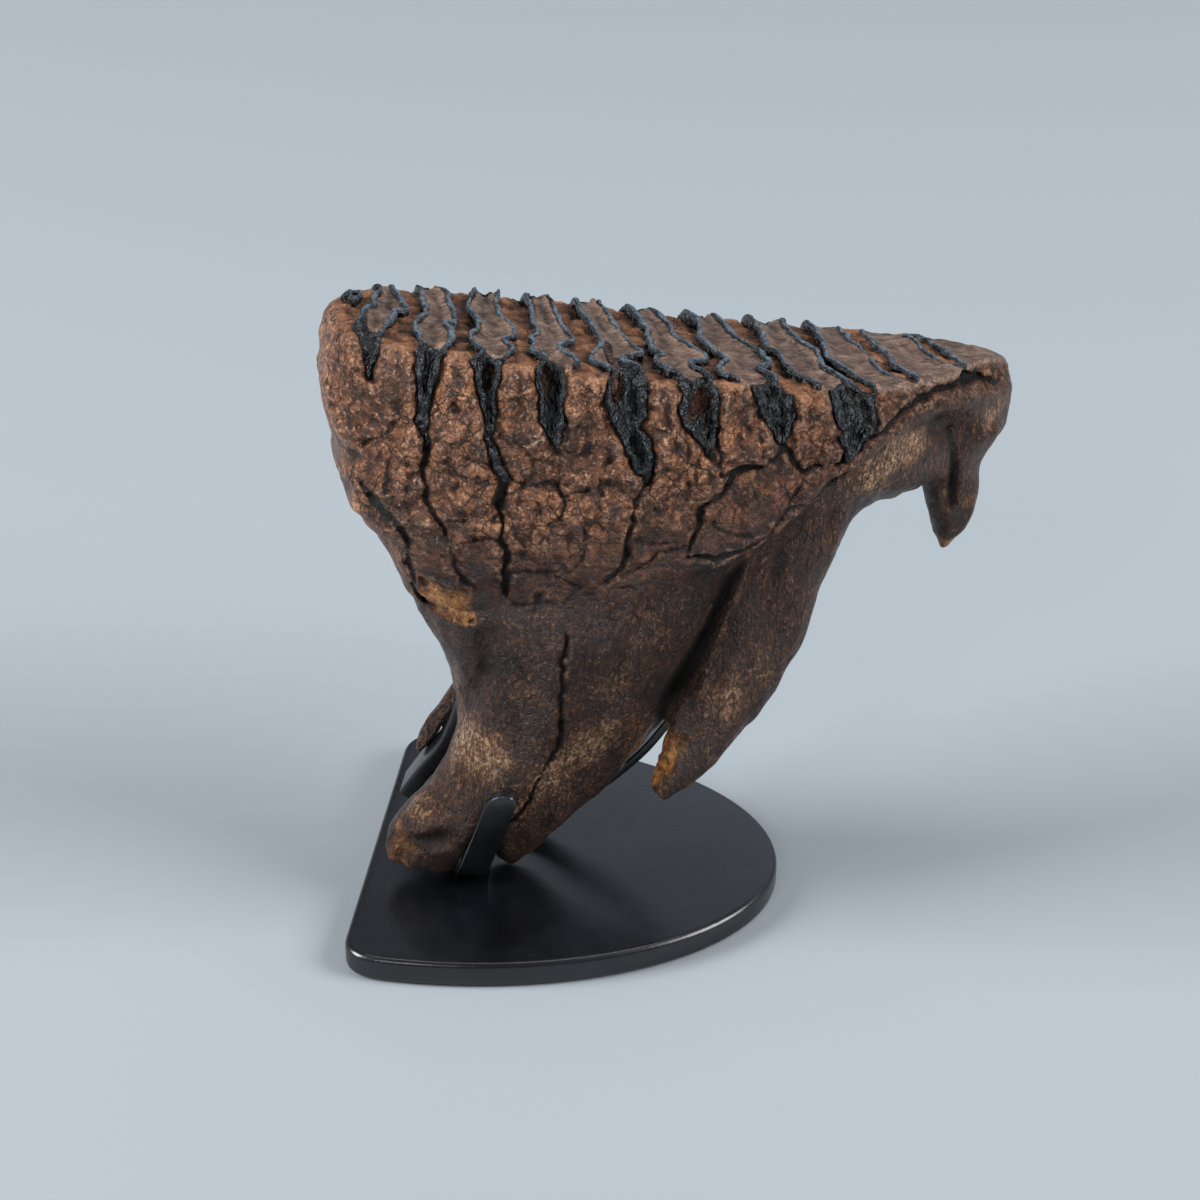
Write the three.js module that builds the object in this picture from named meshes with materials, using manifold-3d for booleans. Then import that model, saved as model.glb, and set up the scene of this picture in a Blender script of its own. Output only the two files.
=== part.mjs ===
// A fossil mammoth molar on its black museum stand. Millimetres, +Z up.
//
// World frame: the origin is the middle of the stand plate's underside. X runs from the plate's
// straight edge to its round nose, and Y runs from the front of the display to the back.
// Tooth frame, turned inside it: x runs along the chewing surface from the deep end to the worn
// end, y runs across the tooth from its cheek side to its tongue side, and z is the height above
// the chewing surface. Everything below the chewing surface has a negative z.
import * as THREE from 'three';
import { mergeVertices } from 'three/addons/utils/BufferGeometryUtils.js';
import Module from 'manifold-3d';

const wasm = await Module();
wasm.setup();

// ---------------------------------------------------------------- driving dimensions

const GAP = 0.3; // every cut between two pieces
const POSE = { x: 25.4, y: 14.2, z: 167.9, roll: -5.5, pitch: 10.5, yaw: 16.5 };

const CROWN = { ceiling: 8, floor: -90, deepEnd: 3.4, wornEnd: 2.6 }; // ends: how square each is
const BEND = { middle: 2, centre: -10, deepEnd: 0.0006, wornEnd: 0.0014 }; // a shallow arc in plan
const WORN_END = { start: 42, length: 64, loss: 0.52 }; // the crown narrows towards its worn end
// The ridge that each plate leaves standing: its enamel rim, the dentine inside that, how much of
// both is lost at the worn end, and how far its two ends stand back from the crown's sides.
const ENAMEL = { wall: 1.7, height: 2.7, root: -4, dentine: 1.4, loss: 1.2, setBack: 1.6 };
const VALLEY = { depth: 1.5, ends: 40, gone: 60 }; // the cement worn down between the plates
const RIDGE_STEPS = 11;
const GROOVE = { sides: 6, levels: 4, top: 5, depth: 3, width: 1.1, taper: 3 };

// One row for each enamel plate, from the deep end to the worn end: where its cheek-side and
// tongue-side ends lie, half its thickness, and the x and z of the lowest points where it shows
// down the cheek and the tongue side of the crown.
const PLATES = [
  { cheek: [-89, 7], tongue: [-88, 19], half: 4.2, tongueTip: [-88, -14] },
  { cheek: [-85, -17], tongue: [-77, 25], half: 4.0, cheekTip: [-85.5, -11], tongueTip: [-77, -16] },
  { cheek: [-71, -26], tongue: [-66, 28], half: 4.2, cheekTip: [-69.5, -27], tongueTip: [-65, -21] },
  { cheek: [-57, -29], tongue: [-49, 31], half: 4.4, cheekTip: [-47, -38], tongueTip: [-48, -20] },
  { cheek: [-39, -30], tongue: [-35, 32], half: 4.6, cheekTip: [-35.5, -21], tongueTip: [-33, -22] },
  { cheek: [-19, -32], tongue: [-19, 33], half: 4.8, cheekTip: [-9, -27], tongueTip: [-17, -20] },
  { cheek: [1, -33], tongue: [-2, 33], half: 5.0, cheekTip: [7.5, -19], tongueTip: [0, -19] },
  { cheek: [21, -32], tongue: [15, 33], half: 5.2, cheekTip: [27, -14], tongueTip: [17, -20] },
  { cheek: [43, -26], tongue: [35, 32], half: 5.2, cheekTip: [48.5, -18], tongueTip: [36, -18] },
  { cheek: [55, -19], tongue: [51, 32], half: 4.6 },
  { cheek: [67, -11], tongue: [65, 32], half: 4.4 },
  { cheek: [84, 7], tongue: [80, 25], half: 3.4 },
];

const STAND = { thickness: 8, length: 121, halfWidth: 61, noseCentre: 23, corner: 10, edge: 1.6 };
const STRIP_EDGE = 0.4; // the broken corners of every strip
const STRIP = { width: 9, thickness: 2.6 };
const POST = { width: 5, thickness: 7.8, height: 33 };
// The steel strips that hold the tooth. path is the strip's middle line, seen along Y in its own
// x-z plane, at is where that plane stands, and lean slides the strip sideways as it rises.
const STRIPS = {
  stand_arm_front: {
    path: [[-18, 0], [-2, 0], [14, 0], [21, 3], [26, 16], [30, 37]],
    ...STRIP, turn: -90, lean: 19, at: [-24.5, 0, 9.6], steps: 12,
  },
  stand_arm_right: {
    path: [
      [-21, 9.9], [-11, 14.4], [0, 23.1], [8.6, 29.8], [18.3, 40], [25.3, 50], [31.6, 60.8], [35, 71],
    ],
    ...STRIP, turn: 0, lean: 0, at: [0.8, 14, 0.2], steps: 18,
  },
  stand_arm_left: {
    path: [[-51.6, 20.8], [-46, 29.3], [-40, 37.5], [-36.5, 44.8], [-33.7, 53], [-31.8, 59.5]],
    width: 11.6, thickness: 5, turn: 0, lean: 0, at: [0, 15.1, 0], steps: 10,
  },
  stand_post: {
    path: [[0, 0], [0, POST.height]],
    width: POST.width, thickness: POST.thickness, turn: 0, lean: 0, at: [-38.3, 20.5, 8.3], steps: 1,
  },
};

// ---------------------------------------------------------------- small helpers

const degrees = THREE.MathUtils.degToRad;
const clamp = THREE.MathUtils.clamp;

// A smooth curve through a few [position, value] stations.
function profile(stations) {
  const ordered = [...stations].sort((a, b) => a[0] - b[0]);
  const curve = new THREE.CubicInterpolant(
    ordered.map((station) => station[0]), ordered.map((station) => station[1]), 1);
  const [low, high] = [ordered[0][0], ordered[ordered.length - 1][0]];
  return (position) => curve.evaluate(clamp(position, low, high))[0];
}

function toSolid(geometry) {
  const bare = geometry.clone();
  bare.deleteAttribute('normal');
  bare.deleteAttribute('uv');
  const merged = mergeVertices(bare, 1e-4);
  return new wasm.Manifold(new wasm.Mesh({
    numProp: 3,
    vertProperties: new Float32Array(merged.attributes.position.array),
    triVerts: new Uint32Array(merged.index.array),
  }));
}

function toGeometry(solid) {
  const mesh = solid.getMesh();
  const geometry = new THREE.BufferGeometry();
  geometry.setAttribute('position', new THREE.BufferAttribute(new Float32Array(mesh.vertProperties), 3));
  geometry.setIndex(new THREE.BufferAttribute(new Uint32Array(mesh.triVerts), 1));
  geometry.computeVertexNormals();
  return geometry;
}

// A capped cylinder whose every point is moved by place(turn, fraction, radius): turn runs round
// it in radians, fraction runs from its top, 0, to its bottom, 1, and radius is 0 at the caps'
// centres and 1 on the wall.
function warpedCylinder(sides, levels, place) {
  const geometry = new THREE.CylinderGeometry(1, 1, 1, sides, levels);
  const position = geometry.attributes.position;
  for (let i = 0; i < position.count; i += 1) {
    const [x, y, z] = [position.getX(i), position.getY(i), position.getZ(i)];
    const point = place(Math.atan2(-z, x), 0.5 - y, Math.min(1, Math.hypot(x, z)));
    position.setXYZ(i, point.x, point.y, point.z);
  }
  return toSolid(geometry);
}

// A prism whose outline is drawn in the tooth's x-z plane and that runs across the tooth.
function acrossTooth(outline, nearY = -90, farY = 90) {
  const shape = new THREE.Shape(outline.map(([x, z]) => new THREE.Vector2(x, z)));
  const geometry = new THREE.ExtrudeGeometry(shape, { depth: farY - nearY, bevelEnabled: false });
  geometry.rotateX(Math.PI / 2);
  geometry.translate(0, farY, 0);
  return toSolid(geometry);
}

// ---------------------------------------------------------------- the crown

const bendAt = (x) => BEND.middle
  + (x < BEND.centre ? BEND.deepEnd : BEND.wornEnd) * (x - BEND.centre) ** 2;
const wornTaper = (x) => 1 - WORN_END.loss * clamp((x - WORN_END.start) / WORN_END.length, 0, 1) ** 1.5;

// A point on a rounded-box outline that follows the tooth's bend.
function onOutline(turn, radius, { left, right, side, bend, shift = 0, deepEnd, wornEnd }) {
  const power = 2 / (Math.cos(turn) < 0 ? deepEnd : wornEnd);
  const along = Math.sign(Math.cos(turn)) * Math.abs(Math.cos(turn)) ** power;
  const across = Math.sign(Math.sin(turn)) * Math.abs(Math.sin(turn)) ** power;
  const x = (left + right) / 2 + radius * along * (right - left) / 2;
  return { x, y: shift + bend * bendAt(x) + radius * across * side * wornTaper(x) };
}

const crownLeft = profile([
  [8, -91], [0, -94], [-12, -94.5], [-28, -91.5], [-40, -89], [-51, -83.5], [-61, -75.5], [-73, -66],
  [-90, -57],
]);
const crownRight = profile([[8, 104], [0, 108], [-6, 111], [-20, 112], [-90, 112]]);
const crownSide = profile([[8, 28], [0, 32.5], [-12, 35.5], [-35, 36.5], [-55, 35], [-75, 32], [-90, 29]]);

const crownOutline = (z) => ({
  left: crownLeft(z), right: crownRight(z), side: crownSide(z), bend: 1, deepEnd: CROWN.deepEnd,
  wornEnd: CROWN.wornEnd,
});

function crownBlock() {
  return warpedCylinder(60, 11, (turn, fraction, radius) => {
    const z = THREE.MathUtils.lerp(CROWN.ceiling, CROWN.floor, fraction);
    const { x, y } = onOutline(turn, radius, crownOutline(z));
    return new THREE.Vector3(x, y, z);
  });
}

// The chewing surface dips along the tooth and rises again at its worn end. The cement lies in
// valleys below it, which fade out where the plates are worn away.
const chewingHeight = profile([[-110, -1], [-60, 0], [0, 0], [60, 0], [84, 1.6], [98, 1.8], [108, -1.5]]);
const wornShare = (x) => clamp((x - VALLEY.ends) / (VALLEY.gone - VALLEY.ends), 0, 1);
const cementHeight = (x) => chewingHeight(x) - VALLEY.depth * (1 - wornShare(x));
// The line where the crown ends and the roots begin, along the tooth.
const neckHeight = profile([
  [-110, -92], [-64, -78], [-31, -67], [-8, -62], [8, -54.5], [25, -45], [37, -33], [50, -20], [66, -11],
  [88, -8.5], [112, -7.5],
]);

const alongTooth = (from, to, steps) => Array.from(
  { length: steps + 1 }, (_, i) => from + (to - from) * i / steps);

function crownBand(lift) {
  const top = alongTooth(-110, 112, 24).map((x) => [x, cementHeight(x)]);
  const bottom = alongTooth(112, -110, 30).map((x) => [x, neckHeight(x) + lift]);
  return acrossTooth([...bottom, ...top]);
}

// How much of the full jog and set-back a plate has: the short ones at the tooth's ends have less.
const FULL_PLATE = 40; // the length from which a plate has all of both
const fullness = (plate) => Math.min(1, (plate.tongue[1] - plate.cheek[1]) / FULL_PLATE);

// The plan of one plate's ridge: a long loop across the tooth with a jog past its middle, where
// the plate swells towards the worn end. share runs from its tongue end, 0, to its cheek end, 1.
function plateMiddle(plate, share) {
  const jog = Math.exp(-(((share - 0.64) / 0.09) ** 2));
  const counter = Math.exp(-(((share - 0.44) / 0.12) ** 2));
  const reach = fullness(plate);
  return {
    x: THREE.MathUtils.lerp(plate.tongue[0], plate.cheek[0], share) + reach * (2.4 * jog - 1.4 * counter),
    y: THREE.MathUtils.lerp(plate.tongue[1], plate.cheek[1], share),
    half: plate.half * (1 + 0.22 * jog),
  };
}

function plateLoop(plate, inset) {
  const side = (sign) => Array.from({ length: RIDGE_STEPS + 1 }, (_, i) => {
    const share = i / RIDGE_STEPS;
    const { x, y, half } = plateMiddle(plate, share);
    const closing = Math.min(1, Math.sin(Math.PI * share) * 3 + 0.28) ** 0.6;
    const ends = (inset + ENAMEL.setBack * fullness(plate)) * Math.cos(Math.PI * share);
    return [x + sign * Math.max(0.5, half * closing - inset), y - ends];
  });
  return [...side(-1), ...side(1).reverse()];
}

// An enamel rim round a lower floor of dentine.
function enamelRidge(plate) {
  const toPoints = (loop) => loop.map(([x, y]) => new THREE.Vector2(x, y));
  const middle = (plate.cheek[0] + plate.tongue[0]) / 2;
  const lift = chewingHeight(middle) - ENAMEL.loss * wornShare(middle);
  const upTo = (shape, top) => {
    const depth = top + lift - ENAMEL.root;
    const geometry = new THREE.ExtrudeGeometry(shape, { depth, bevelEnabled: false });
    geometry.translate(0, 0, ENAMEL.root);
    return toSolid(geometry);
  };
  const rim = new THREE.Shape(toPoints(plateLoop(plate, 0)));
  rim.holes.push(new THREE.Path(toPoints(plateLoop(plate, ENAMEL.wall))));
  const floor = new THREE.Shape(toPoints(plateLoop(plate, ENAMEL.wall / 2)));
  return upTo(rim, ENAMEL.height).add(upTo(floor, ENAMEL.dentine));
}

// A tapering groove down one side of the crown, where the cement has broken away from a plate.
function sideGroove(plate, side) {
  const [x] = side < 0 ? plate.cheek : plate.tongue;
  const [tipX, tipZ] = side < 0 ? plate.cheekTip : plate.tongueTip;
  const wall = (z) => bendAt(x) + side * crownSide(z) * wornTaper(x) * endRounding(x, z);
  return warpedCylinder(GROOVE.sides, GROOVE.levels, (turn, fraction, radius) => {
    const z = THREE.MathUtils.lerp(GROOVE.top, tipZ, fraction);
    const reach = radius * (1 - 0.9 * fraction ** GROOVE.taper);
    return new THREE.Vector3(
      THREE.MathUtils.lerp(x, tipX, fraction) + reach * Math.cos(turn) * plate.half * GROOVE.width,
      wall(z) + reach * Math.sin(turn) * GROOVE.depth,
      z,
    );
  });
}

// How much of the crown's full half width is left near its rounded ends.
function endRounding(x, z) {
  const [left, right] = [crownLeft(z), crownRight(z)];
  const along = clamp(2 * (x - (left + right) / 2) / (right - left), -1, 1);
  const squareness = along < 0 ? CROWN.deepEnd : CROWN.wornEnd;
  return (1 - Math.abs(along) ** squareness) ** (1 / squareness);
}

function crown() {
  let body = crownBlock().intersect(crownBand(GAP / 2));
  for (const plate of PLATES) {
    if (plate.cheekTip) body = body.subtract(sideGroove(plate, -1));
    if (plate.tongueTip) body = body.subtract(sideGroove(plate, 1));
  }
  for (const plate of PLATES) body = body.add(enamelRidge(plate));
  return body;
}

// ---------------------------------------------------------------- the roots

const ROOTS = { top: -2, floor: -167, roundness: 2.3 };
const rootLeft = profile([
  [0, -50], [-60, -60], [-76, -62.5], [-85, -58], [-97, -49], [-108, -44.6], [-116, -42.7], [-124, -42],
  [-131, -43.1], [-138, -46.2], [-146, -52.4], [-154, -57.4], [-162, -58.8], [-167, -56],
]);
const rootRight = profile([
  [0, 106], [-8, 111], [-20, 112], [-28, 107], [-34, 88], [-40, 64], [-50, 49], [-70, 38.5], [-86, 29.5],
  [-96, 25.2], [-106, 19.2], [-123, 9.6], [-141, -1.6], [-151, -7.2], [-161, -15], [-167, -22],
]);
const rootSide = profile([
  [0, 30], [-30, 33], [-60, 32], [-78, 30], [-90, 27], [-106, 23], [-123, 19], [-141, 15], [-151, 12.5],
  [-161, 9.5], [-167, 6],
]);
const rootBend = profile([[0, 1], [-30, 1], [-60, 0.7], [-90, 0.3], [-120, 0], [-167, 0]]);
const rootShift = profile([[0, 0], [-120, 0], [-141, 2], [-151, 3.2], [-167, 4.5]]);

// The fused roots under the crown. grow swells them by the gap that their neighbours keep.
function rootMass(grow = 0) {
  return warpedCylinder(36, 18, (turn, fraction, radius) => {
    const z = ROOTS.top + grow + fraction * (ROOTS.floor - ROOTS.top - 2 * grow);
    const { x, y } = onOutline(turn, radius, {
      left: rootLeft(z) - grow, right: rootRight(z) + grow, side: rootSide(z) + grow, bend: rootBend(z),
      shift: rootShift(z), deepEnd: ROOTS.roundness, wornEnd: ROOTS.roundness,
    });
    return new THREE.Vector3(x, y, z);
  });
}

// The crack that parts the fused roots into two lobes and opens towards their tips.
const LOBE_CRACK = [
  [-22.5, -50, 0.15], [-22.5, -77, 0.15], [-18.8, -99, 0.3], [-17.3, -115, 0.4], [-19.8, -128, 0.5],
  [-24.6, -138, 0.7], [-28.3, -148, 1.4], [-30, -156, 3.8], [-30, -161, 5.6], [-26, -166, 9], [-22, -172, 14],
];

function lobeCrack() {
  const left = LOBE_CRACK.map(([x, z, half]) => [x - half, z]);
  const right = LOBE_CRACK.map(([x, z, half]) => [x + half, z]).reverse();
  return acrossTooth([...left, ...right]);
}

// A single root: a tapering horn through a few stations of [x, y, z, half length, half thickness].
function horn(stations, steps, grow = 0) {
  const path = new THREE.CatmullRomCurve3(stations.map(([x, y, z]) => new THREE.Vector3(x, y, z)));
  const fractions = stations.map((_, i) => i / (stations.length - 1));
  const long = profile(stations.map((station, i) => [fractions[i], station[3] + grow]));
  const thick = profile(stations.map((station, i) => [fractions[i], station[4] + grow]));
  const acrossAxis = new THREE.Vector3(0, 1, 0);
  return warpedCylinder(14, steps, (turn, fraction, radius) => {
    const tangent = path.getTangent(fraction);
    const sideAxis = new THREE.Vector3().crossVectors(acrossAxis, tangent).normalize();
    const upAxis = new THREE.Vector3().crossVectors(tangent, sideAxis).normalize();
    return path.getPoint(fraction)
      .addScaledVector(sideAxis, -radius * Math.cos(turn) * long(fraction))
      .addScaledVector(upAxis, radius * Math.sin(turn) * thick(fraction));
  });
}

const LONG_ROOT = [
  [48, -12, -30, 13, 9], [43, -14, -46, 13, 9.5], [39.5, -16, -62, 12.5, 9], [35.5, -18, -78, 12.3, 8.5],
  [30, -19, -94, 12, 8], [23.2, -19.5, -108, 9.8, 7.2], [17.5, -20, -119, 7, 6], [14.6, -20, -126.5, 3.9, 4],
];
const END_ROOT = [
  [93, 13, -18, 14, 10], [93.5, 12.5, -30, 10.8, 8.5], [94.5, 11.5, -40, 8.6, 7.2], [95.8, 10.5, -49, 5, 5.2],
  [95.5, 10, -57, 1.6, 2.2],
];
const BACK_ROOT = [
  [-14.5, 24, -70, 9, 5], [-18.6, 29, -91, 8, 4.8], [-23.4, 32.5, -109, 6.8, 4.4],
  [-31.9, 34, -123, 5.8, 4], [-41, 34, -136, 4.8, 3.4], [-46.6, 33.5, -147, 3.2, 2.6],
];

// The broken faces that end the left lobe and the long root.
function brokenFace(centre, radius) {
  const geometry = new THREE.SphereGeometry(radius, 14, 9);
  geometry.translate(centre[0], centre[1], centre[2]);
  return toSolid(geometry);
}

function rootPieces() {
  const neckCut = crownBand(-GAP / 2);
  const mass = rootMass().subtract(neckCut).subtract(lobeCrack());
  const [first, second] = mass.decompose().sort(
    (a, b) => a.boundingBox().min[0] - b.boundingBox().min[0]);
  const keepOff = rootMass(GAP).add(crownBlock().intersect(crownBand(-GAP / 2)));
  const single = (stations, steps) => horn(stations, steps).subtract(keepOff);
  return {
    root_left_lobe: first.subtract(brokenFace([-60, -17, -171], 17)),
    root_right_lobe: second,
    root_long: single(LONG_ROOT, 12).subtract(brokenFace([-6, -34, -116], 24)),
    root_end: single(END_ROOT, 8),
    root_back: single(BACK_ROOT, 9),
  };
}

// ---------------------------------------------------------------- the stand

// The plate: straight across one end, with an oval nose.
function plateOutline() {
  const shape = new THREE.Shape();
  const back = -STAND.length / 2;
  const noseRadius = STAND.length - STAND.noseCentre;
  const cut = Math.acos(-STAND.noseCentre / noseRadius);
  const sweep = cut * 0.94;
  const edgeY = STAND.halfWidth * Math.sin(cut);
  shape.moveTo(back, -edgeY + STAND.corner);
  shape.quadraticCurveTo(
    back, -edgeY, back + STAND.noseCentre + noseRadius * Math.cos(sweep), -STAND.halfWidth * Math.sin(sweep));
  shape.absellipse(back + STAND.noseCentre, 0, noseRadius, STAND.halfWidth, -sweep, sweep, false, 0);
  shape.quadraticCurveTo(back, edgeY, back, edgeY - STAND.corner);
  shape.closePath();
  return shape;
}

function standPlate() {
  const geometry = new THREE.ExtrudeGeometry(plateOutline(), {
    depth: STAND.thickness - 2 * STAND.edge, bevelEnabled: true, bevelThickness: STAND.edge,
    bevelSize: STAND.edge, bevelOffset: -STAND.edge, bevelSegments: 2, curveSegments: 18,
  });
  geometry.translate(0, 0, STAND.edge);
  return toSolid(geometry);
}

// A flat steel strip bent along its path. grow swells it by the gap that the tooth keeps to it.
function bentStrip({ path, width, thickness, turn, lean, at, steps }, grow = 0) {
  const curve = new THREE.SplineCurve(path.map(([x, z]) => new THREE.Vector2(x, z)));
  const [outer, inner] = [[], []];
  for (let i = 0; i <= steps; i += 1) {
    const point = curve.getPoint(i / steps);
    const tangent = curve.getTangent(i / steps);
    const normal = new THREE.Vector2(-tangent.y, tangent.x).multiplyScalar(thickness / 2);
    outer.push(point.clone().add(normal));
    inner.push(point.clone().sub(normal));
  }
  const geometry = new THREE.ExtrudeGeometry(new THREE.Shape([...outer, ...inner.reverse()]), {
    depth: width - 2 * STRIP_EDGE + 2 * grow, bevelEnabled: true, bevelThickness: STRIP_EDGE,
    bevelSize: STRIP_EDGE, bevelOffset: grow - STRIP_EDGE, bevelSegments: 1,
  });
  geometry.translate(0, 0, STRIP_EDGE - grow);
  geometry.rotateX(Math.PI / 2);
  geometry.applyMatrix4(new THREE.Matrix4().makeShear(0, 0, 0, 0, 0, Math.tan(degrees(lean))));
  geometry.rotateZ(degrees(turn));
  geometry.translate(...at);
  return toSolid(geometry);
}

// ---------------------------------------------------------------- assembly

const finish = (color, roughness, metalness = 0) => new THREE.MeshStandardMaterial({
  color, roughness, metalness });
const CEMENT = finish(0x7c5038, 0.7);
const ROOT = finish(0x4a3326, 0.6);
const STEEL = finish(0x17181b, 0.42, 0.2);

const model = new THREE.Group();
const tooth = new THREE.Group();
tooth.position.set(POSE.x, POSE.y, POSE.z);
tooth.rotation.set(degrees(POSE.roll), degrees(POSE.pitch), degrees(POSE.yaw), 'ZYX');
tooth.updateMatrix();
model.add(tooth);

function place(parent, name, solid, material) {
  const mesh = new THREE.Mesh(toGeometry(solid), material);
  mesh.name = name;
  parent.add(mesh);
}

place(model, 'stand_plate', standPlate(), STEEL);
for (const [name, strip] of Object.entries(STRIPS)) place(model, name, bentStrip(strip), STEEL);

// The roots lie against the strips, so they are dented by them and keep the gap.
const intoTooth = tooth.matrix.clone().invert().elements;
const strips = Object.values(STRIPS).map((strip) => bentStrip(strip, GAP).transform(intoTooth));
place(tooth, 'crown', crown(), CEMENT);
for (const [name, solid] of Object.entries(rootPieces())) {
  place(tooth, name, strips.reduce((root, strip) => root.subtract(strip), solid), ROOT);
}

export default model;
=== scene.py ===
# %% [markdown]
# # A fossil mammoth molar on its black museum stand
#
# A mammoth's cheek tooth is a stack of tall, flat enamel plates. Each plate is filled with dentine,
# and a brown cement glues the stack together. Chewing grinds the top flat, so every plate is cut
# across and shows as a long loop of hard enamel that stands proud of the softer stuff inside it and
# around it. Below the crown the roots grow down and back, and here they rest on bent steel strips.
#
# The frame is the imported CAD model. Its solids give the true outline, and this script carves the
# fine relief into them: it turns them into a distance field on a grid, adds grooves, cracks and
# lumps to the field as numbers, and turns the result back into a mesh.

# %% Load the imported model, which is the fixed frame
import math

import bpy
import bmesh
import numpy as np
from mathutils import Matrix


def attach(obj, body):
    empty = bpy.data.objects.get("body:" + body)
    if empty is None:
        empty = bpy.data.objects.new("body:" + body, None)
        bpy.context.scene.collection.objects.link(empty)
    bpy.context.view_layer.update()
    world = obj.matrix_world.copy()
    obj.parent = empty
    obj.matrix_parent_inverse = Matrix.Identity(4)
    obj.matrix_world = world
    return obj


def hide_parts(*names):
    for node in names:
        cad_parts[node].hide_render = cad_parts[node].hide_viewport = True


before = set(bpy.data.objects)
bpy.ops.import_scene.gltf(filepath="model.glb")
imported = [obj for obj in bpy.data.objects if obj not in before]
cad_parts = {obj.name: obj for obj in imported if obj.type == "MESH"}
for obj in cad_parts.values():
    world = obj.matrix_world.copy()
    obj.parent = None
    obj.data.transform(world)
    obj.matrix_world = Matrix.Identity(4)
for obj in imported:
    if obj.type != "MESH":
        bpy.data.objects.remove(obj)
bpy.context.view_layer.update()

import openvdb as vdb
from mathutils import Matrix, Vector

# %% [markdown]
# ## The tooth's own frame
# The tooth leans on its stand, so it is easier to work in its own frame, in millimetres: s runs
# along the chewing surface from the deep end to the worn end, w runs across from the cheek side to
# the tongue side, and h is the height above the chewing surface. The pose is the CAD model's.

# %% Tooth frame
MM = 0.001
POSE_AT = np.array([25.4, 14.2, 167.9])
ROLL, PITCH, YAW = np.radians([-5.5, 10.5, 16.5])


def turn_about(axis, angle):
    """A 3 by 3 rotation matrix."""
    return np.array(Matrix.Rotation(angle, 3, axis))


TURN = turn_about("Z", YAW) @ turn_about("Y", PITCH) @ turn_about("X", ROLL)


def to_tooth(points_m):
    """World metres to tooth millimetres."""
    return (np.asarray(points_m) / MM - POSE_AT) @ TURN


def to_world(points_mm):
    """Tooth millimetres to world metres."""
    return (np.asarray(points_mm) @ TURN.T + POSE_AT) * MM


print("middle of the chewing surface in metres:", to_world((0, 0, 0)).round(4))

# %% [markdown]
# ## Numbers on grids
# Relief on the chewing surface is a map over (s, w), and relief on the cheek side is a map over
# (s, h). Both are plain 2-D arrays. Solid noise is a small random lattice stretched smoothly over
# the grid, which is quick and has no visible squares.

# %% Numbers that the helpers share, and a soft step
SEED = 11
SEED_GAP = 1000  # keeps the seeds of different uses apart
# Smoothing weakens a random lattice. These gains bring noise on 2 or 3 axes back to about unit size.
NOISE_GAIN = {2: 2.6, 3: 3.6}
BLUR_REACH = 2.5  # how many radii a blur looks out to
FAR_AWAY = 1e9


def smooth_step(low, high, value):
    """0 below low, 1 above high, and a soft ramp between."""
    t = np.clip((value - low) / (high - low), 0.0, 1.0)
    return t * t * (3.0 - 2.0 * t)


# %% Smooth noise, from a small lattice of random numbers
def stretch_matrix(count, positions):
    """Weights that read a row of count random numbers at fractional positions, as a soft curve."""
    base = np.floor(positions).astype(int)
    t = positions - base
    weights = np.zeros((len(positions), count), np.float32)
    rows = np.arange(len(positions))
    splines = ((1 - t) ** 3 / 6, (3 * t ** 3 - 6 * t ** 2 + 4) / 6,
               (-3 * t ** 3 + 3 * t ** 2 + 3 * t + 1) / 6, t ** 3 / 6)
    for offset, weight in enumerate(splines):
        weights[rows, np.clip(base + offset, 0, count - 1)] += weight
    return weights


def noise(axes, spacing, seed):
    """Smooth noise of about unit size over 2 or 3 axes. spacing is one lattice step per axis, in mm."""
    spacing = np.broadcast_to(spacing, len(axes))
    rng = np.random.default_rng(SEED * SEED_GAP + seed)
    positions = [(axis - axis[0]) / step for axis, step in zip(axes, spacing)]
    counts = [int(place[-1]) + 5 for place in positions]
    field = rng.uniform(-1, 1, counts).astype(np.float32)
    for place, count in zip(positions, counts):
        field = np.tensordot(field, stretch_matrix(count, place), axes=([0], [1]))
    return field * NOISE_GAIN[len(axes)]


# %% Blur
def blur(field, radius):
    """Gaussian blur along every axis. radius is in cells."""
    reach = int(math.ceil(BLUR_REACH * radius))
    weights = np.exp(-0.5 * (np.arange(-reach, reach + 1) / radius) ** 2)
    weights = (weights / weights.sum()).astype(np.float32)
    for axis in range(field.ndim):
        margins = [(reach, reach) if k == axis else (0, 0) for k in range(field.ndim)]
        padded = np.pad(field, margins, "edge")
        total = np.zeros_like(field)
        for step, weight in enumerate(weights):
            window = [slice(None)] * field.ndim
            window[axis] = slice(step, step + field.shape[axis])
            total += weight * padded[tuple(window)]
        field = total
    return field


# %% A map over two axes
class Sheet:
    """A 2-D map with even steps. It can be read on two axes or at scattered points."""

    def __init__(self, a_range, b_range, step=0.4):
        self.step = step
        self.a = np.arange(a_range[0], a_range[1] + step, step)
        self.b = np.arange(b_range[0], b_range[1] + step, step)
        self.A, self.B = np.meshgrid(self.a, self.b, indexing="ij")

    def read(self, values, a, b):
        """Bilinear reading at points a, b of any matching shapes."""
        fa = np.clip((a - self.a[0]) / self.step, 0, len(self.a) - 1.001)
        fb = np.clip((b - self.b[0]) / self.step, 0, len(self.b) - 1.001)
        ia, ib = fa.astype(int), fb.astype(int)
        ta, tb = fa - ia, fb - ib
        low = values[ia, ib] * (1 - tb) + values[ia, ib + 1] * tb
        high = values[ia + 1, ib] * (1 - tb) + values[ia + 1, ib + 1] * tb
        return (low * (1 - ta) + high * ta).astype(np.float32)


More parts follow.
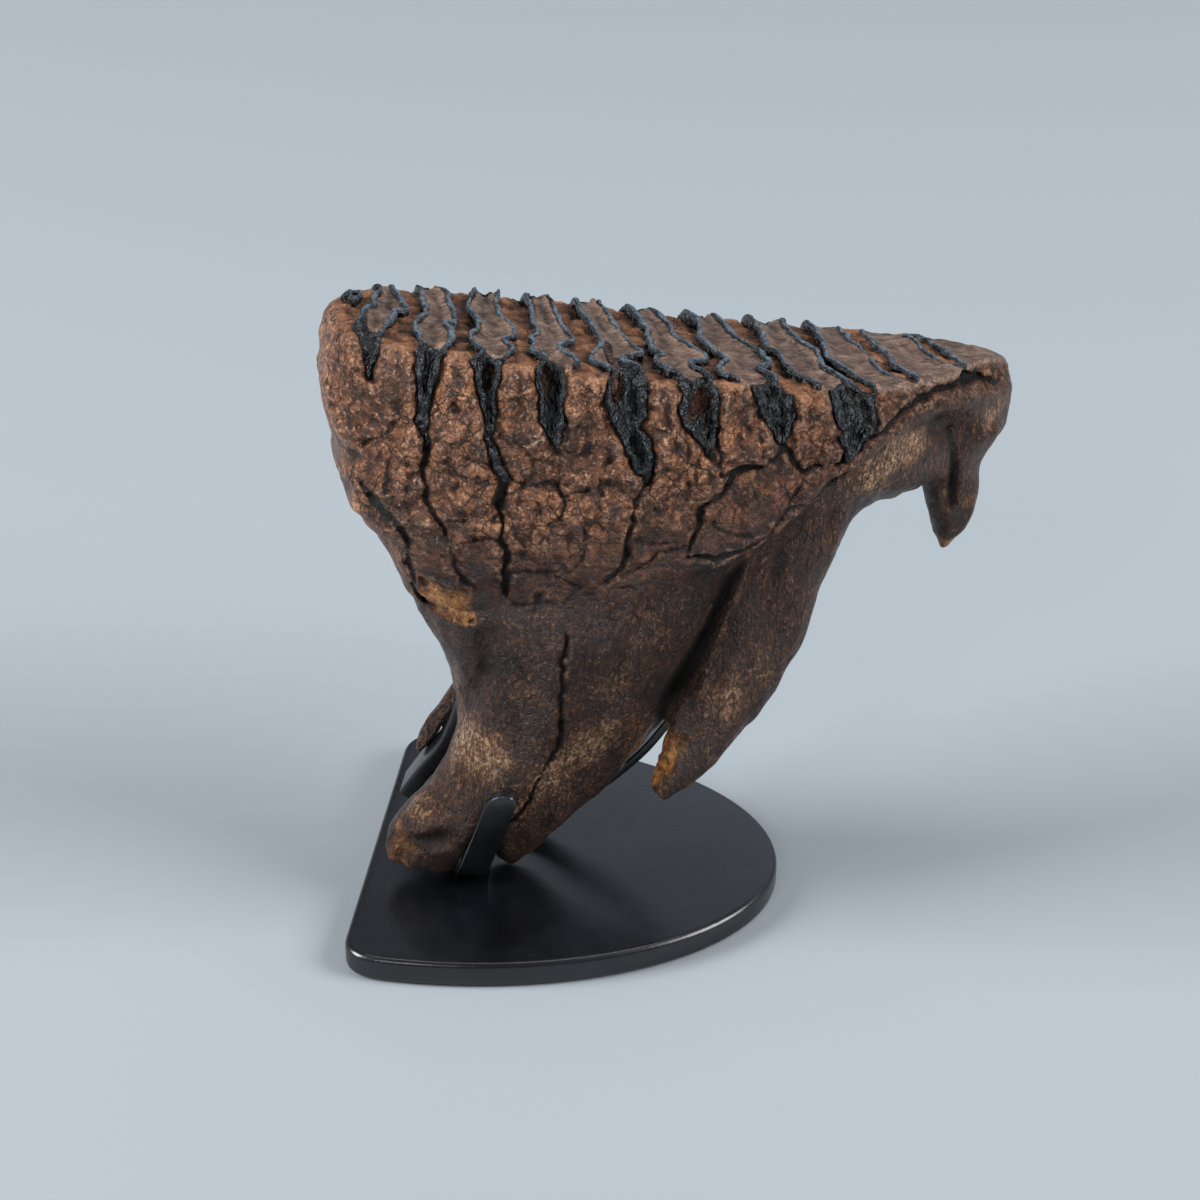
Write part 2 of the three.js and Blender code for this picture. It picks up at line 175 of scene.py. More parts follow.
# %% Lines and outlines on a map
def rounded(points, closed=True, rounds=2):
    """Cuts the corners of a line again and again, which rounds it (Chaikin's method)."""
    points = np.array(points, float)
    for _ in range(rounds):
        following = np.roll(points, -1, axis=0) if closed else points[1:]
        start = points if closed else points[:-1]
        cut = np.stack([0.75 * start + 0.25 * following, 0.25 * start + 0.75 * following], 1)
        cut = cut.reshape(-1, 2)
        points = cut if closed else np.vstack([points[:1], cut, points[-1:]])
    return points


def line_distance(A, B, points, closed=False):
    """Distance from every cell to a line of points."""
    ends = np.roll(points, -1, axis=0) if closed else points[1:]
    starts = points if closed else points[:-1]
    best = np.full(A.shape, FAR_AWAY)
    for (a0, b0), (a1, b1) in zip(starts, ends):
        length = max((a1 - a0) ** 2 + (b1 - b0) ** 2, 1e-9)
        t = np.clip(((A - a0) * (a1 - a0) + (B - b0) * (b1 - b0)) / length, 0, 1)
        best = np.minimum(best, (A - a0 - t * (a1 - a0)) ** 2 + (B - b0 - t * (b1 - b0)) ** 2)
    return np.sqrt(best)


def inside(A, B, points):
    """True for cells inside a closed outline."""
    result = np.zeros(A.shape, bool)
    for (a0, b0), (a1, b1) in zip(points, np.roll(points, -1, axis=0)):
        if b0 == b1:
            continue
        crosses = (b0 > B) != (b1 > B)
        result ^= crosses & (A < a0 + (B - b0) * (a1 - a0) / (b1 - b0))
    return result


# %% [markdown]
# ## The enamel plates
# Each worn plate is a loop. Its two long sides are wavy ribbons of enamel, written here as a short
# line of (s, w) places from the tongue side to the cheek side. Near the cheek end every ribbon
# folds once, which is the tooth's own pattern. At the worn end the plates are ground so low that
# their dentine has run together, and what is left of the cement stands as islands in it.

# %% Plates, the worn field and its islands, as lines of (s, w)
PLATES = [
    ([(-90.5, 16), (-87.5, 21.5)], [(-83.5, 18.5), (-85, 12.5), (-88, 11)]),
    ([(-81, 28), (-78, 20), (-82, 12), (-80.5, 7.5), (-85, 4), (-88, -2.5), (-89, -14)],
     [(-77, 31), (-75, 23), (-73.5, 15.5), (-74, 3.5), (-78.5, 5), (-78.5, 0), (-82, -9), (-84, -18)]),
    ([(-69, 40), (-67.5, 21), (-67.5, 11.5), (-69, 2), (-72.5, -3), (-73.5, -9.5), (-72, -14),
      (-75, -23), (-75, -36)],
     [(-64, 40), (-60.5, 25), (-60.5, 15.5), (-60, 5), (-61.5, -2), (-64.5, -2), (-62.5, -10),
      (-67, -22), (-67.5, -36)]),
    ([(-53, 44), (-51.5, 26), (-55.5, 17), (-55, 8), (-55, -2.5), (-58.5, -12), (-59, -18), (-55.5, -21),
      (-60.5, -26), (-60.5, -38)],
     [(-46, 44), (-44.5, 24), (-47.5, 17), (-47, 7.5), (-45, 0), (-45.5, -8), (-51, -11), (-47, -19),
      (-53, -25), (-53.5, -38)]),
    ([(-39.5, 44), (-36.5, 30), (-36.5, 18), (-38, 4.5), (-38.5, -3), (-42, -6), (-40.5, -11.5), (-43, -18),
      (-38, -23), (-44.5, -28), (-44.5, -40)],
     [(-32, 44), (-30.5, 28), (-30, 18), (-30.5, 4.5), (-28, -6), (-31.5, -8.5), (-36, -14), (-31, -18),
      (-30.5, -23), (-34.5, -28), (-34.5, -40)]),
    ([(-23, 44), (-21.5, 21), (-21, 7.5), (-20, -4), (-25.5, -15), (-26, -22), (-20.5, -27), (-24, -31),
      (-24, -42)],
     [(-17, 44), (-14.5, 26), (-14, 14), (-13.5, 1.5), (-10, -13), (-13, -13.5), (-18.5, -18), (-14, -23),
      (-12.5, -29), (-13.5, -42)]),
    ([(-8, 44), (-5, 19), (-5.5, 2.5), (-7, -7), (-3, -12.5), (-8.5, -15), (-8.5, -22), (-2, -27),
      (-4.5, -31), (-4.5, -42)],
     [(-0.5, 44), (1, 23), (2.5, 16.5), (1.5, 5), (6.5, -3), (8.5, -11), (3, -13.5), (0, -20), (5.5, -23),
      (5.5, -29), (6, -42)]),
    ([(9, 44), (12.5, 24), (10.5, 9.5), (10, -1), (14.5, -7.5), (13.5, -13), (9, -16), (9, -22), (13.5, -26),
      (15.5, -31), (15.5, -42)],
     [(17, 44), (20.5, 26), (20.5, 10), (25, 3), (25.5, -5), (27, -11), (19.5, -15.5), (24.5, -20), (24, -25),
      (27, -31), (27, -42)]),
    ([(29, 46), (31.5, 22), (29, 8), (30.5, -1), (31.5, -9.5), (30.5, -16), (35, -21), (38.5, -27),
      (39, -40)],
     [(38, 46), (41, 27), (39.5, 15), (44.5, 5), (41.5, -8), (44, -15), (48, -20), (51, -26), (51, -40)]),
]
WORN_FIELD = [(49, 50), (48.5, 18), (46, 3.5), (47.5, -6.5), (51, -12), (54.5, -17), (55, -40),
              (125, -40), (125, 50)]
ISLANDS = [
    [(58.5, 50), (57.5, 24), (60.5, 13), (59.5, -2), (63.5, -9.5), (67.5, -13), (71, -8), (66, -1), (66, 9),
     (64, 22), (65.5, 50)],
    [(75, 28), (78.5, 24), (78, 12), (80.5, 6), (87.5, 3), (87, 10), (83.5, 19), (80.5, 29)],
]
print(f"{len(PLATES)} plates and {len(ISLANDS)} islands")

# %% [markdown]
# ## Openings down the cheek side
# The cement has come off the plates' edges near the top of the cheek side, so black enamel shows in
# openings that narrow downwards. A boolean cut for each would leave hard, even walls. As rows of
# places they become one distance map, which later gives the walls, the enamel's relief and the
# colours the same ragged edge.

# %% Openings and hollows, by (s, h)
# Each row is a height, and the two sides of the opening at that height.
OPENINGS = [
    [(6, -90, -82), (0, -89, -83.5), (-5, -88, -84.5), (-10, -86.3, -85)],
    [(5, -75, -67.5), (-5, -74.5, -68), (-11, -73.3, -68.5), (-20, -70.8, -69.2), (-26, -70, -69.5)],
    [(5, -60.5, -53.5), (-5, -59.3, -52.5), (-12, -57, -51.5), (-20, -53.8, -50.8), (-29, -49.5, -46.8),
     (-38, -48, -47)],
    [(5, -44.5, -34.5), (-5, -42.5, -33.5), (-12, -39.8, -32.8), (-18, -36.5, -34.5), (-20, -35.6, -35.2)],
    [(5, -24, -13.5), (-7, -22.8, -12.2), (-14, -20, -10.8), (-22, -13.5, -8.5), (-27, -9.8, -8.6)],
    [(5, -4.5, 6), (-6, -3, 7), (-13, 1, 7.8), (-18.5, 6, 8)],
    [(5, 15.5, 27), (-5.5, 19, 29.5), (-10, 23, 28.5), (-13, 26.5, 27.5)],
    [(5, 39, 52), (-6, 42, 54), (-11, 44.5, 53.5), (-17.5, 48, 49.5)],
]
# Where a plate's dentine has broken out of an opening and left a brown hollow: s, h, width, height.
HOLLOWS = [(-19.5, -3.5, 1.6, 4.5), (1.8, -5.5, 2.6, 4.6), (-39, -4, 1.5, 4), (-55.5, -5, 1.2, 4.5)]
print(f"{len(OPENINGS)} openings, {len(HOLLOWS)} hollows in them")

# %% [markdown]
# ## Cracks
# The cement dried, shrank and cracked into blocks. The biggest cracks are listed as lines on
# the cheek side, each with its half width and depth in millimetres. Fine crazing comes later, from
# the material.

# %% The big cracks, as lines of (s, h)
CRACKS = [
    (0.9, 2.4, [(-69.8, -22), (-69.5, -31), (-66.5, -40), (-64, -43.5), (-61, -48.5)]),
    (1.5, 2.6, [(-50.5, -26), (-48, -30), (-47, -34), (-48.5, -38.5)]),
    (0.9, 3.0, [(-48.5, -38.5), (-46.5, -48), (-44, -52.5), (-41.5, -58.5), (-41, -65.5)]),
    (0.45, 0.9, [(-41, -65.5), (-37.5, -68), (-26.5, -66), (-22.5, -60.5)]),
    (0.6, 1.6, [(-58.5, -49.5), (-57, -57), (-53, -63), (-50, -66.5)]),
    (0.5, 1.2, [(-41, -58), (-32, -56.5), (-25, -58.5), (-22.5, -60.5)]),
    (0.5, 1.3, [(-46.5, -29.5), (-38, -29), (-34, -28), (-31.5, -31), (-31, -35.5), (-32, -40)]),
    (0.5, 1.2, [(-31.5, -31), (-24.5, -30)]),
    (0.5, 1.2, [(-24.5, -41.5), (-22.5, -50.5), (-27, -56)]),
    (1.7, 2.2, [(-82, -39.5), (-78.5, -44), (-73, -50), (-68.5, -57.5)]),
    (1.0, 2.0, [(-68.5, -57.5), (-67.5, -63), (-63.5, -70.5), (-58, -78.5)]),
    (0.5, 1.2, [(-79, -31.5), (-76, -40.5)]),
    (0.6, 1.3, [(-84, -28), (-80, -23), (-78.5, -19.5)]),
    (0.4, 1.0, [(-55.5, -49), (-47, -47.5)]),
    (0.4, 1.0, [(-62, -44.5), (-55, -43.5)]),
    (0.9, 2.4, [(-9.5, -24), (-9, -27), (-11.5, -30.5), (-12.5, -36), (-12.5, -42), (-11.5, -48.5),
                (-12, -53), (-14.5, -57)]),
    (1.5, 3.2, [(16, -21.5), (12, -28), (9, -31), (8, -36.5), (5.5, -44)]),
    (0.7, 2.0, [(5.5, -44), (6.5, -47.5), (16.5, -46.5), (24, -42.5), (28.5, -38), (32.5, -32.5), (39, -31)]),
    (0.8, 2.2, [(39, -31), (44, -26.5), (49.5, -22.5)]),
    (1.6, 3.0, [(10, -22.5), (17, -21.5), (24, -18), (26.5, -14), (31, -16.5), (35, -20.5), (43, -18)]),
    (0.6, 1.6, [(4.5, -43.5), (-3.5, -49.5), (-7.5, -53), (-11, -55)]),
    (0.9, 2.2, [(8.2, -11), (10, -17), (10.5, -22)]),
    (0.6, 1.5, [(35.5, -20), (35.5, -24.5), (32, -31)]),
    (0.4, 1.0, [(10.5, -38), (15, -39.5), (22, -39)]),
    (0.4, 1.0, [(-10.5, -44), (2, -43.5)]),
    (0.6, 2.6, [(-23.5, -76), (-22, -86), (-19.4, -99), (-17.8, -115), (-19.8, -126), (-24.3, -138),
                (-28.3, -148)]),
    (0.5, 1.0, [(-33, -69.5), (-32, -63.5)]),
    (0.4, 0.8, [(-20, -62), (-8, -58), (0, -55)]),
    (0.4, 0.8, [(-58, -31), (-53.5, -33), (-50, -31)]),
]
# The undercut below the thin worn end of the crown: its half width, its depth and its line.
UNDERCUT = (1.0, 3.0, [(45, -18.5), (52, -12.5), (60, -7), (68, -3.6), (78, -1.6), (90, -1.6), (102, -3.4)])
print(f"{len(CRACKS)} big cracks")

# %% Broken faces, and rubbed spots and spots of painted shade, by (s, h)
# Faces where a piece has broken off, each with how much of fresh, ochre-coloured dentine shows there.
BREAKS = [
    (0.75, [(-64, -66.5), (-59.5, -66), (-52, -67), (-49, -72.5), (-46, -75.5), (-49.5, -79), (-54, -80),
            (-58.5, -79)]),
    (1.0, [(12.3, -105.2), (17.5, -107.3), (16.7, -116.2), (13.7, -122.8), (10.6, -125.4), (4, -124),
           (6, -112)]),
    (0.25, [(-70, -151), (-60, -150), (-53, -153), (-49, -157), (-50, -170), (-70, -170)]),
    (0.5, [(84, -47), (92, -52), (100, -49), (104, -58), (84, -60)]),
]
# Spots that hands and the wind have rubbed pale, above 0, and spots of painted shade, below 0.
# Each has its middle (s, h), its half width, its half height and its strength.
TONES = [
    (-49, -127, 9, 9, 0.8), (-53, -143, 7, 8, 0.9), (-34, -122, 5, 8, 0.8), (-31, -94, 4, 10, 0.7),
    (-39, -119, 6, 8, 0.8), (-47, -108, 5, 9, 0.5), (-12, -115, 7, 6, 1.0), (-18, -126, 6, 6, 1.0),
    (-23, -136, 5, 6, 0.8), (-5, -107, 7, 5, 0.7), (-5, -84, 4, 5, 0.6), (-4, -75, 5, 5, 0.5),
    (-7, -92, 5, 6, 0.6), (1, -68, 5, 4, 0.5), (29, -93, 4, 9, 0.9), (21, -92, 3, 8, 0.6),
    (37, -82, 3, 7, 0.6), (67, -17, 11, 6, 1.3), (58, -25, 8, 6, 0.8), (100, -14, 5, 6, 0.8),
    (89, -36, 2.5, 8, 0.6), (104, -12, 4, 4, 0.6), (33, -52, 4, 6, 0.4), (-40, -89, 10, 6, -0.9),
    (-30, -107, 8, 6, -0.7), (-56, -92, 4, 10, -0.5), (14, -64, 6, 13, -1.0), (14, -50, 6, 8, -0.6),
    (84, -18, 6, 4, -0.9), (78, -28, 3, 8, -0.6), (94, -43, 2.5, 6, -0.7), (31, -68, 4, 8, -0.5),
    (42, -52, 5, 10, -0.4), (-15, -75, 8, 8, -0.5), (8, -92, 7, 14, -0.7), (-76, -47, 3, 6, -0.9),
    (-70, -55, 2.5, 5, -0.9), (-60, -64, 7, 2.5, -1.0), (-47, -69, 3.5, 4, -1.0), (-47, -36, 2, 5, -0.9),
    (-38, -38, 3, 2, -0.6), (-26, -42, 5, 3, -0.6), (-5, -153, 10, 8, -0.5), (-50, -155, 7, 3.5, -1.0),
    (90, -30, 2, 12, -0.9),
]
print(f"{len(BREAKS)} broken faces, {len(TONES)} rubbed or stained spots")

# %% [markdown]
# ## The neck and the bend
# The neck is the line on which the cement ends and the smooth root begins. It climbs from the deep
# end of the crown to the worn end. Seen from above the whole tooth bends in a shallow arc, so what
# counts as the cheek side or the tongue side is told from that arc and not from a flat plane.

# %% Neck line and middle line
NECK = np.array([(-110, -92), (-64, -78), (-50, -72), (-31, -67), (-15, -63), (0, -57), (16, -49.5),
                 (26, -43), (36, -35), (44, -26), (50, -17), (63, -7.5), (84, -4.2), (101, -5), (115, -6)])


def bend_at(s):
    """The middle line of the tooth seen from above, which is a shallow arc."""
    return 2 + np.where(s < -10, 0.0006, 0.0014) * (s + 10) ** 2


def neck_at(s):
    """The height of the neck on the cheek side."""
    return np.interp(s, NECK[:, 0], NECK[:, 1])


print("neck height at the two ends:", neck_at(NECK[0, 0]), neck_at(NECK[-1, 0]))

# %% [markdown]
# ## Relief of the chewing surface
# Enamel is the hardest stuff in the tooth, so it wears least and stands highest. Dentine is dished
# inside its loop, and cement wears away fastest, so it lies in valleys between the plates. This
# could be sculpted by hand or cut with curves. As a height map, worked out from the distance to the
# nearest loop, one set of numbers gives every plate the same wear.


# %% Cells of dried, cracked cement
def cells(A, B, size, seed):
    """Distance to the nearest joint between irregular cells, and a random number for each cell."""
    rng = np.random.default_rng(SEED * SEED_GAP + seed)
    row, column = np.floor(A / size).astype(int), np.floor(B / size).astype(int)
    first_row, first_column = row.min() - 1, column.min() - 1
    shape = (row.max() - first_row + 2, column.max() - first_column + 2)
    jitter = rng.uniform(0.1, 0.9, (*shape, 2))
    shade = rng.uniform(-1, 1, shape)
    nearest, second = np.full(A.shape, FAR_AWAY), np.full(A.shape, FAR_AWAY)
    number = np.zeros(A.shape)
    for i in (-1, 0, 1):
        for j in (-1, 0, 1):
            r, c = row + i - first_row, column + j - first_column
            middle_a = (row + i + jitter[r, c, 0]) * size
            middle_b = (column + j + jitter[r, c, 1]) * size
            away = np.hypot(middle_a - A, middle_b - B)
            closer = away < nearest
            second = np.where(closer, nearest, np.minimum(second, away))
            number = np.where(closer, shade[r, c], number)
            nearest = np.minimum(nearest, away)
    return (second - nearest) / 2, number


# %% Heights of the chewing surface, in mm
ENAMEL_HALF = 0.72  # half the thickness of an enamel ribbon
CREST = 2.9  # how high the enamel stands over the level that was chewed flat
CREST_WORN_BY = 1.3  # how much of that is gone at the worn end
DENTINE_EDGE, DENTINE_EDGE_WORN_BY = 2.3, 1.4  # the dentine's height where it meets the enamel
DISH, DISH_LESS_WORN = 1.4, 0.6  # how deep it is dished inside its loop
DISH_FROM, DISH_TO = 0.3, 4.2  # how far from the enamel the dish starts, and is full
VALLEY = (0.5, -0.8)  # the cement's height at the cheek side and at the tongue side
CEMENT_CELL = 6  # the size of the cement's dried blocks between the plates
# The chewed level along s. It bows up a little towards the worn end.
CHEWED = ([-110, -60, 60, 84, 98, 108], [-0.3, 0, 0, 1.8, 2.3, 0.3])
TONGUE_RISE = 1.4  # and it climbs by this towards the tongue side of the deep end
print("enamel ribbons are", 2 * ENAMEL_HALF, "mm thick and stand", CREST, "mm high")

# %% Where dentine is, and how far the nearest enamel is, over (s, w)
PLAN = Sheet((-102, 118), (-46, 58))
plan_axes = (PLAN.a, PLAN.b)
ripple_s = PLAN.A + 0.34 * noise(plan_axes, 1.7, 1) + 0.42 * noise(plan_axes, 4.2, 2)
ripple_w = PLAN.B + 0.30 * noise(plan_axes, 1.7, 3) + 0.3 * noise(plan_axes, 4.2, 13)
plate_lines = [rounded(left + right[::-1]) for left, right in PLATES]
worn_line = np.array(WORN_FIELD, float)
island_lines = [rounded(points) for points in ISLANDS]

enamel_edge = np.full(PLAN.A.shape, FAR_AWAY)
dentine = inside(ripple_s, ripple_w, worn_line)
enamel_edge = np.minimum(enamel_edge, line_distance(ripple_s, ripple_w, worn_line, True))
for line in plate_lines:
    enamel_edge = np.minimum(enamel_edge, line_distance(ripple_s, ripple_w, line, True))
    dentine |= inside(ripple_s, ripple_w, line)
for line in island_lines:
    enamel_edge = np.minimum(enamel_edge, line_distance(ripple_s, ripple_w, line, True))
    dentine &= ~inside(ripple_s, ripple_w, line)
print(f"{dentine.mean():.0%} of the map is dentine")
dentine = blur(dentine.astype(np.float32), 0.7)

# %% Heights of dentine, cement and enamel crests, over (s, w)
chew = np.interp(PLAN.A, *CHEWED)
chew = chew + TONGUE_RISE * smooth_step(10, 32, PLAN.B) * smooth_step(15, -25, PLAN.A)
worn_low = smooth_step(40, 60, PLAN.A)
dish = smooth_step(DISH_FROM, DISH_TO, enamel_edge)
dentine_top = (chew + (DENTINE_EDGE - DENTINE_EDGE_WORN_BY * worn_low)
               - (DISH - DISH_LESS_WORN * worn_low) * dish
               + 0.12 * noise(plan_axes, 1.3, 4) + 0.3 * noise(plan_axes, 11, 5)
               + 0.2 * noise(plan_axes, (2.2, 7), 15))
plan_joint, plan_block = cells(PLAN.A + 0.6 * noise(plan_axes, 3, 16), PLAN.B + 0.6 * noise(plan_axes, 3, 17),
                               CEMENT_CELL, 18)
valley = VALLEY[0] + (VALLEY[1] - VALLEY[0]) * smooth_step(8, 30, PLAN.B)
cement_top = (chew + valley * (1 - worn_low) + 0.4 * noise(plan_axes, 6, 6) + 0.25 * noise(plan_axes, 1.9, 7)
              + 0.3 * plan_block - 0.6 * np.exp(-(plan_joint / 0.35) ** 2))
top_height = blur(dentine * dentine_top + (1 - dentine) * cement_top, 0.6)
crest_height = (chew + CREST - CREST_WORN_BY * worn_low + (0.12 + 0.2 * worn_low) * noise(plan_axes, 1.5, 8)
                + 0.3 * noise(plan_axes, 4, 12) + 0.3 * noise(plan_axes, 10, 9))
enamel_half = ENAMEL_HALF * (1 + 0.18 * noise(plan_axes, 2.2, 10)) * (1 - 0.1 * worn_low)
print(f"chewing surface: {top_height.min():.1f} to {top_height.max():.1f} mm over a map of {PLAN.A.shape}")

# %% [markdown]
# ## Relief of the cheek side
# In an opening the enamel stands as two rails, with a sunken, wrinkled middle. The cement round it
# is a dried crust, broken into blocks. Both are maps over (s, h), read at places that noise has
# shifted by a millimetre or so, so that no edge is straight.

# %% The map of the cheek side, and the openings on it
SIDE = Sheet((-102, 118), (-172, 8))
side_axes = (SIDE.a, SIDE.b)
side_s = (SIDE.A + 0.2 * noise(side_axes, 0.9, 28) + 0.42 * noise(side_axes, 1.8, 21)
          + 0.7 * noise(side_axes, 4, 25) + 0.5 * noise(side_axes, 9, 22))
side_h = (SIDE.B + 0.2 * noise(side_axes, 0.9, 29) + 0.42 * noise(side_axes, 1.8, 23)
          + 0.7 * noise(side_axes, 4, 26) + 0.5 * noise(side_axes, 9, 24))


def opening_distance(S, H, rows):
    """How far a place is outside an opening that narrows downwards. It is negative inside."""
    rows = sorted(rows)
    heights = [row[0] for row in rows]
    left = np.interp(H, heights, [row[1] for row in rows])
    right = np.interp(H, heights, [row[2] for row in rows])
    return np.maximum(np.abs(S - (left + right) / 2) - (right - left) / 2, heights[0] - H)


def all_openings(list_of_rows):
    """The distance to the nearest opening, over the side map."""
    gap = np.full(SIDE.A.shape, FAR_AWAY)
    for rows in list_of_rows:
        gap = np.minimum(gap, opening_distance(side_s, side_h, rows))
    return gap


def tongue_rows(left, right):
    """A plain wedge of an opening on the tongue side, from where a plate's two sides start."""
    middle = (left + right) / 2
    return [(6, left, right), (-9, left + 0.8, right - 0.8), (-19, middle - 0.4, middle + 0.4)]


opening = all_openings(OPENINGS)
tongue_opening = all_openings([tongue_rows(left[0][0], right[0][0]) for left, right in PLATES[2:]])
print(f"openings take {(opening < 0).mean():.1%} of the map of {SIDE.A.shape}")

# %% Relief of the enamel in the openings
hollow = np.zeros(SIDE.A.shape)
for s, h, wide, high in HOLLOWS:
    away = np.hypot((side_s - s) / wide, (side_h - h) / high)
    hollow = np.maximum(hollow, 1 - smooth_step(0.45, 1.1, away))


def enamel_relief(gap, pits):
    """Enamel in an opening: a rail along each edge, wrinkled across, with a sunken middle."""
    rail = np.exp(-((gap + 0.95) / 0.75) ** 2) * (1.1 - 0.9 * smooth_step(-45, 35, SIDE.A))
    middle = smooth_step(1.3, 3.2, -gap)
    wrinkles = 0.3 * noise(side_axes, (1.4, 4.0), 31) + 0.3 * noise(side_axes, 2.2, 32)
    return 0.1 + 0.4 * rail - 1.8 * middle - 2.4 * pits + wrinkles


near_relief = enamel_relief(opening, hollow)
far_relief = enamel_relief(tongue_opening, 0 * hollow)
print(f"enamel relief from {near_relief.min():.1f} to {near_relief.max():.1f} mm")

# %% [markdown]
# ## Cracked cement
# A big crack is a narrow slit between soft shoulders. Blocks come from a cell pattern, in which each
# block has its own height and the joints between them are grooves. A displacement texture could
# give the same lumps, but as numbers the crack lines can also colour the materials.

# %% Big cracks and the undercut
CRACK_NARROW = 0.34  # a crack's floor as a share of the half width that is written for it
CRACK_SHALLOW = 0.55  # and its depth, because it is drawn in colour too
crack_gap = np.full(SIDE.A.shape, FAR_AWAY)
crack_depth = np.zeros(SIDE.A.shape)
uneven = 1 + 0.55 * noise(side_axes, 5, 27) + 0.4 * noise(side_axes, 1.8, 37)
for half, depth, points in CRACKS:
    away = line_distance(side_s, side_h, np.array(points, float))
    width = np.clip(CRACK_NARROW * half * uneven, -0.1, None)
    crack_gap = np.minimum(crack_gap, away - width)
    shoulder = 0.4 * (half - 0.3) * np.exp(-(away / (2.4 * half)) ** 2)
    floor_depth = CRACK_SHALLOW * depth * np.exp(-(away / (width + 0.3)) ** 2)
    crack_depth = np.maximum(crack_depth, floor_depth + shoulder)
half, depth, points = UNDERCUT
away = line_distance(side_s, side_h, rounded(points, closed=False, rounds=1))
crack_gap = np.minimum(crack_gap, away - 0.5 * half)
fade = smooth_step(104, 92, SIDE.A)
crack_depth = np.maximum(crack_depth, fade * depth * np.exp(-(away / half) ** 2))
print(f"the deepest crack is {crack_depth.max():.1f} mm")

# %% Blocks and lumps
BIG_CELL, SMALL_CELL = 10.5, 4.2  # the sizes of the blocks that the cement has cracked into
joint, block = cells(side_s + 1.2 * noise(side_axes, 7, 51), side_h + 1.2 * noise(side_axes, 7, 52),
                     BIG_CELL, 53)
small_joint, small_block = cells(side_s, side_h, SMALL_CELL, 54)
cracked = smooth_step(-0.5, 0.5, noise(side_axes, 18, 55))
crazed = smooth_step(0.0, 0.9, noise(side_axes, 14, 56))
rough = smooth_step(-70, -22, SIDE.B - 0.25 * SIDE.A)
joint_gap = np.minimum(joint + 1.6 * (1 - cracked), small_joint + 1.2 * (1 - crazed)) + 1.5 * (1 - rough)
joints = (0.55 * cracked * np.exp(-(joint / 0.3) ** 2)
          + 0.3 * crazed * np.exp(-(small_joint / 0.26) ** 2)) * rough
lumps = (0.6 * noise(side_axes, 15, 33) + (0.2 + 0.3 * rough) * noise(side_axes, 6.5, 34)
         + (0.08 + 0.27 * rough) * noise(side_axes, 2.4, 35)
         + (0.08 + 0.2 * rough) * noise(side_axes, 1.1, 36)
         + rough * (0.45 * block + 0.2 * small_block) - joints)
print(f"lumps from {lumps.min():.1f} to {lumps.max():.1f} mm")


# %% The cement's whole relief on each side
def side_relief(gap, relief, cracks):
    """Relief of the cement on one side: lumps and cracks, cut away in the openings."""
    outside = np.clip(gap, 0, None)
    pillow = 1.1 * np.exp(-((outside - 3) / 2.6) ** 2) * smooth_step(-34, -14, SIDE.B)
    seam = 1.0 * np.exp(-((gap - 0.35) / 0.5) ** 2)
    cut = 1 - smooth_step(-0.6, 0.4, gap)
    return (lumps + pillow - cracks - seam) * (1 - cut) + (relief - 1.3) * cut


near_cement = side_relief(opening, near_relief, crack_depth)
far_cement = side_relief(tongue_opening, far_relief, 0 * crack_depth)
print(f"relief from {near_cement.min():.1f} to {near_cement.max():.1f} mm")

# %% [markdown]
# ## Forms of the roots
# The CAD roots have the right outline but plain flanks. On the tooth a deep fold runs down beside
# the long root, shallow flutes follow each root, and a ledge and a notch mark the worn end. Each is
# a soft groove along a short line, which takes less work than more solids and leaves no seams.

# %% The fold beside the long root
# The line of the fold is given as (h, s), and its depth in mm.
FOLD_DEPTH = 5.5
FOLD = np.array([(-40, 24.5), (-46.7, 25), (-53.9, 25.5), (-61.3, 24.5), (-68.6, 23), (-74.3, 22),
                 (-80.5, 20.5), (-91, 18), (-100, 14)])
fold_edge = np.interp(-SIDE.B, -FOLD[:, 0], FOLD[:, 1]) + 0.5 * noise(side_axes, 6, 61)
beyond = fold_edge - SIDE.A
fold_depth = (FOLD_DEPTH * np.exp(-(np.clip(beyond, 0, None) / 8) ** 1.4) * smooth_step(-1.2, 0.8, beyond)
              * smooth_step(-47, -62, SIDE.B) * smooth_step(-112, -92, SIDE.B))
fold_depth -= 0.6 * np.exp(-((beyond + 2.2) / 1.9) ** 2) * smooth_step(-47, -60, SIDE.B)
print(f"the fold is {fold_depth.max():.1f} mm deep")

# %% Flutes, ledge and notch
# Grooves along the roots and the hollow in a lobe's tip: half width, depth and line.
FLUTES = [(2.4, 0.8, [(36, -50), (35, -62), (33, -78), (29, -96)]),
          (4.2, 3.4, [(79, -13), (86, -15), (92, -18)]),
          (1.5, 2.0, [(85, -16), (89, -24), (91.5, -32), (93.5, -40)]),
          (2.6, 1.2, [(-44, -80), (-40, -96), (-43, -118), (-49, -136)]),
          (3.0, 1.2, [(-2, -66), (-6, -84), (-8, -104), (-12, -124)]),
          (3.0, 2.4, [(-57, -158.5), (-49, -155.5), (-43, -151)])]
for half, depth, points in FLUTES:
    away = line_distance(SIDE.A, SIDE.B, rounded(points, closed=False))
    fold_depth += depth * np.exp(-(away / half) ** 2)
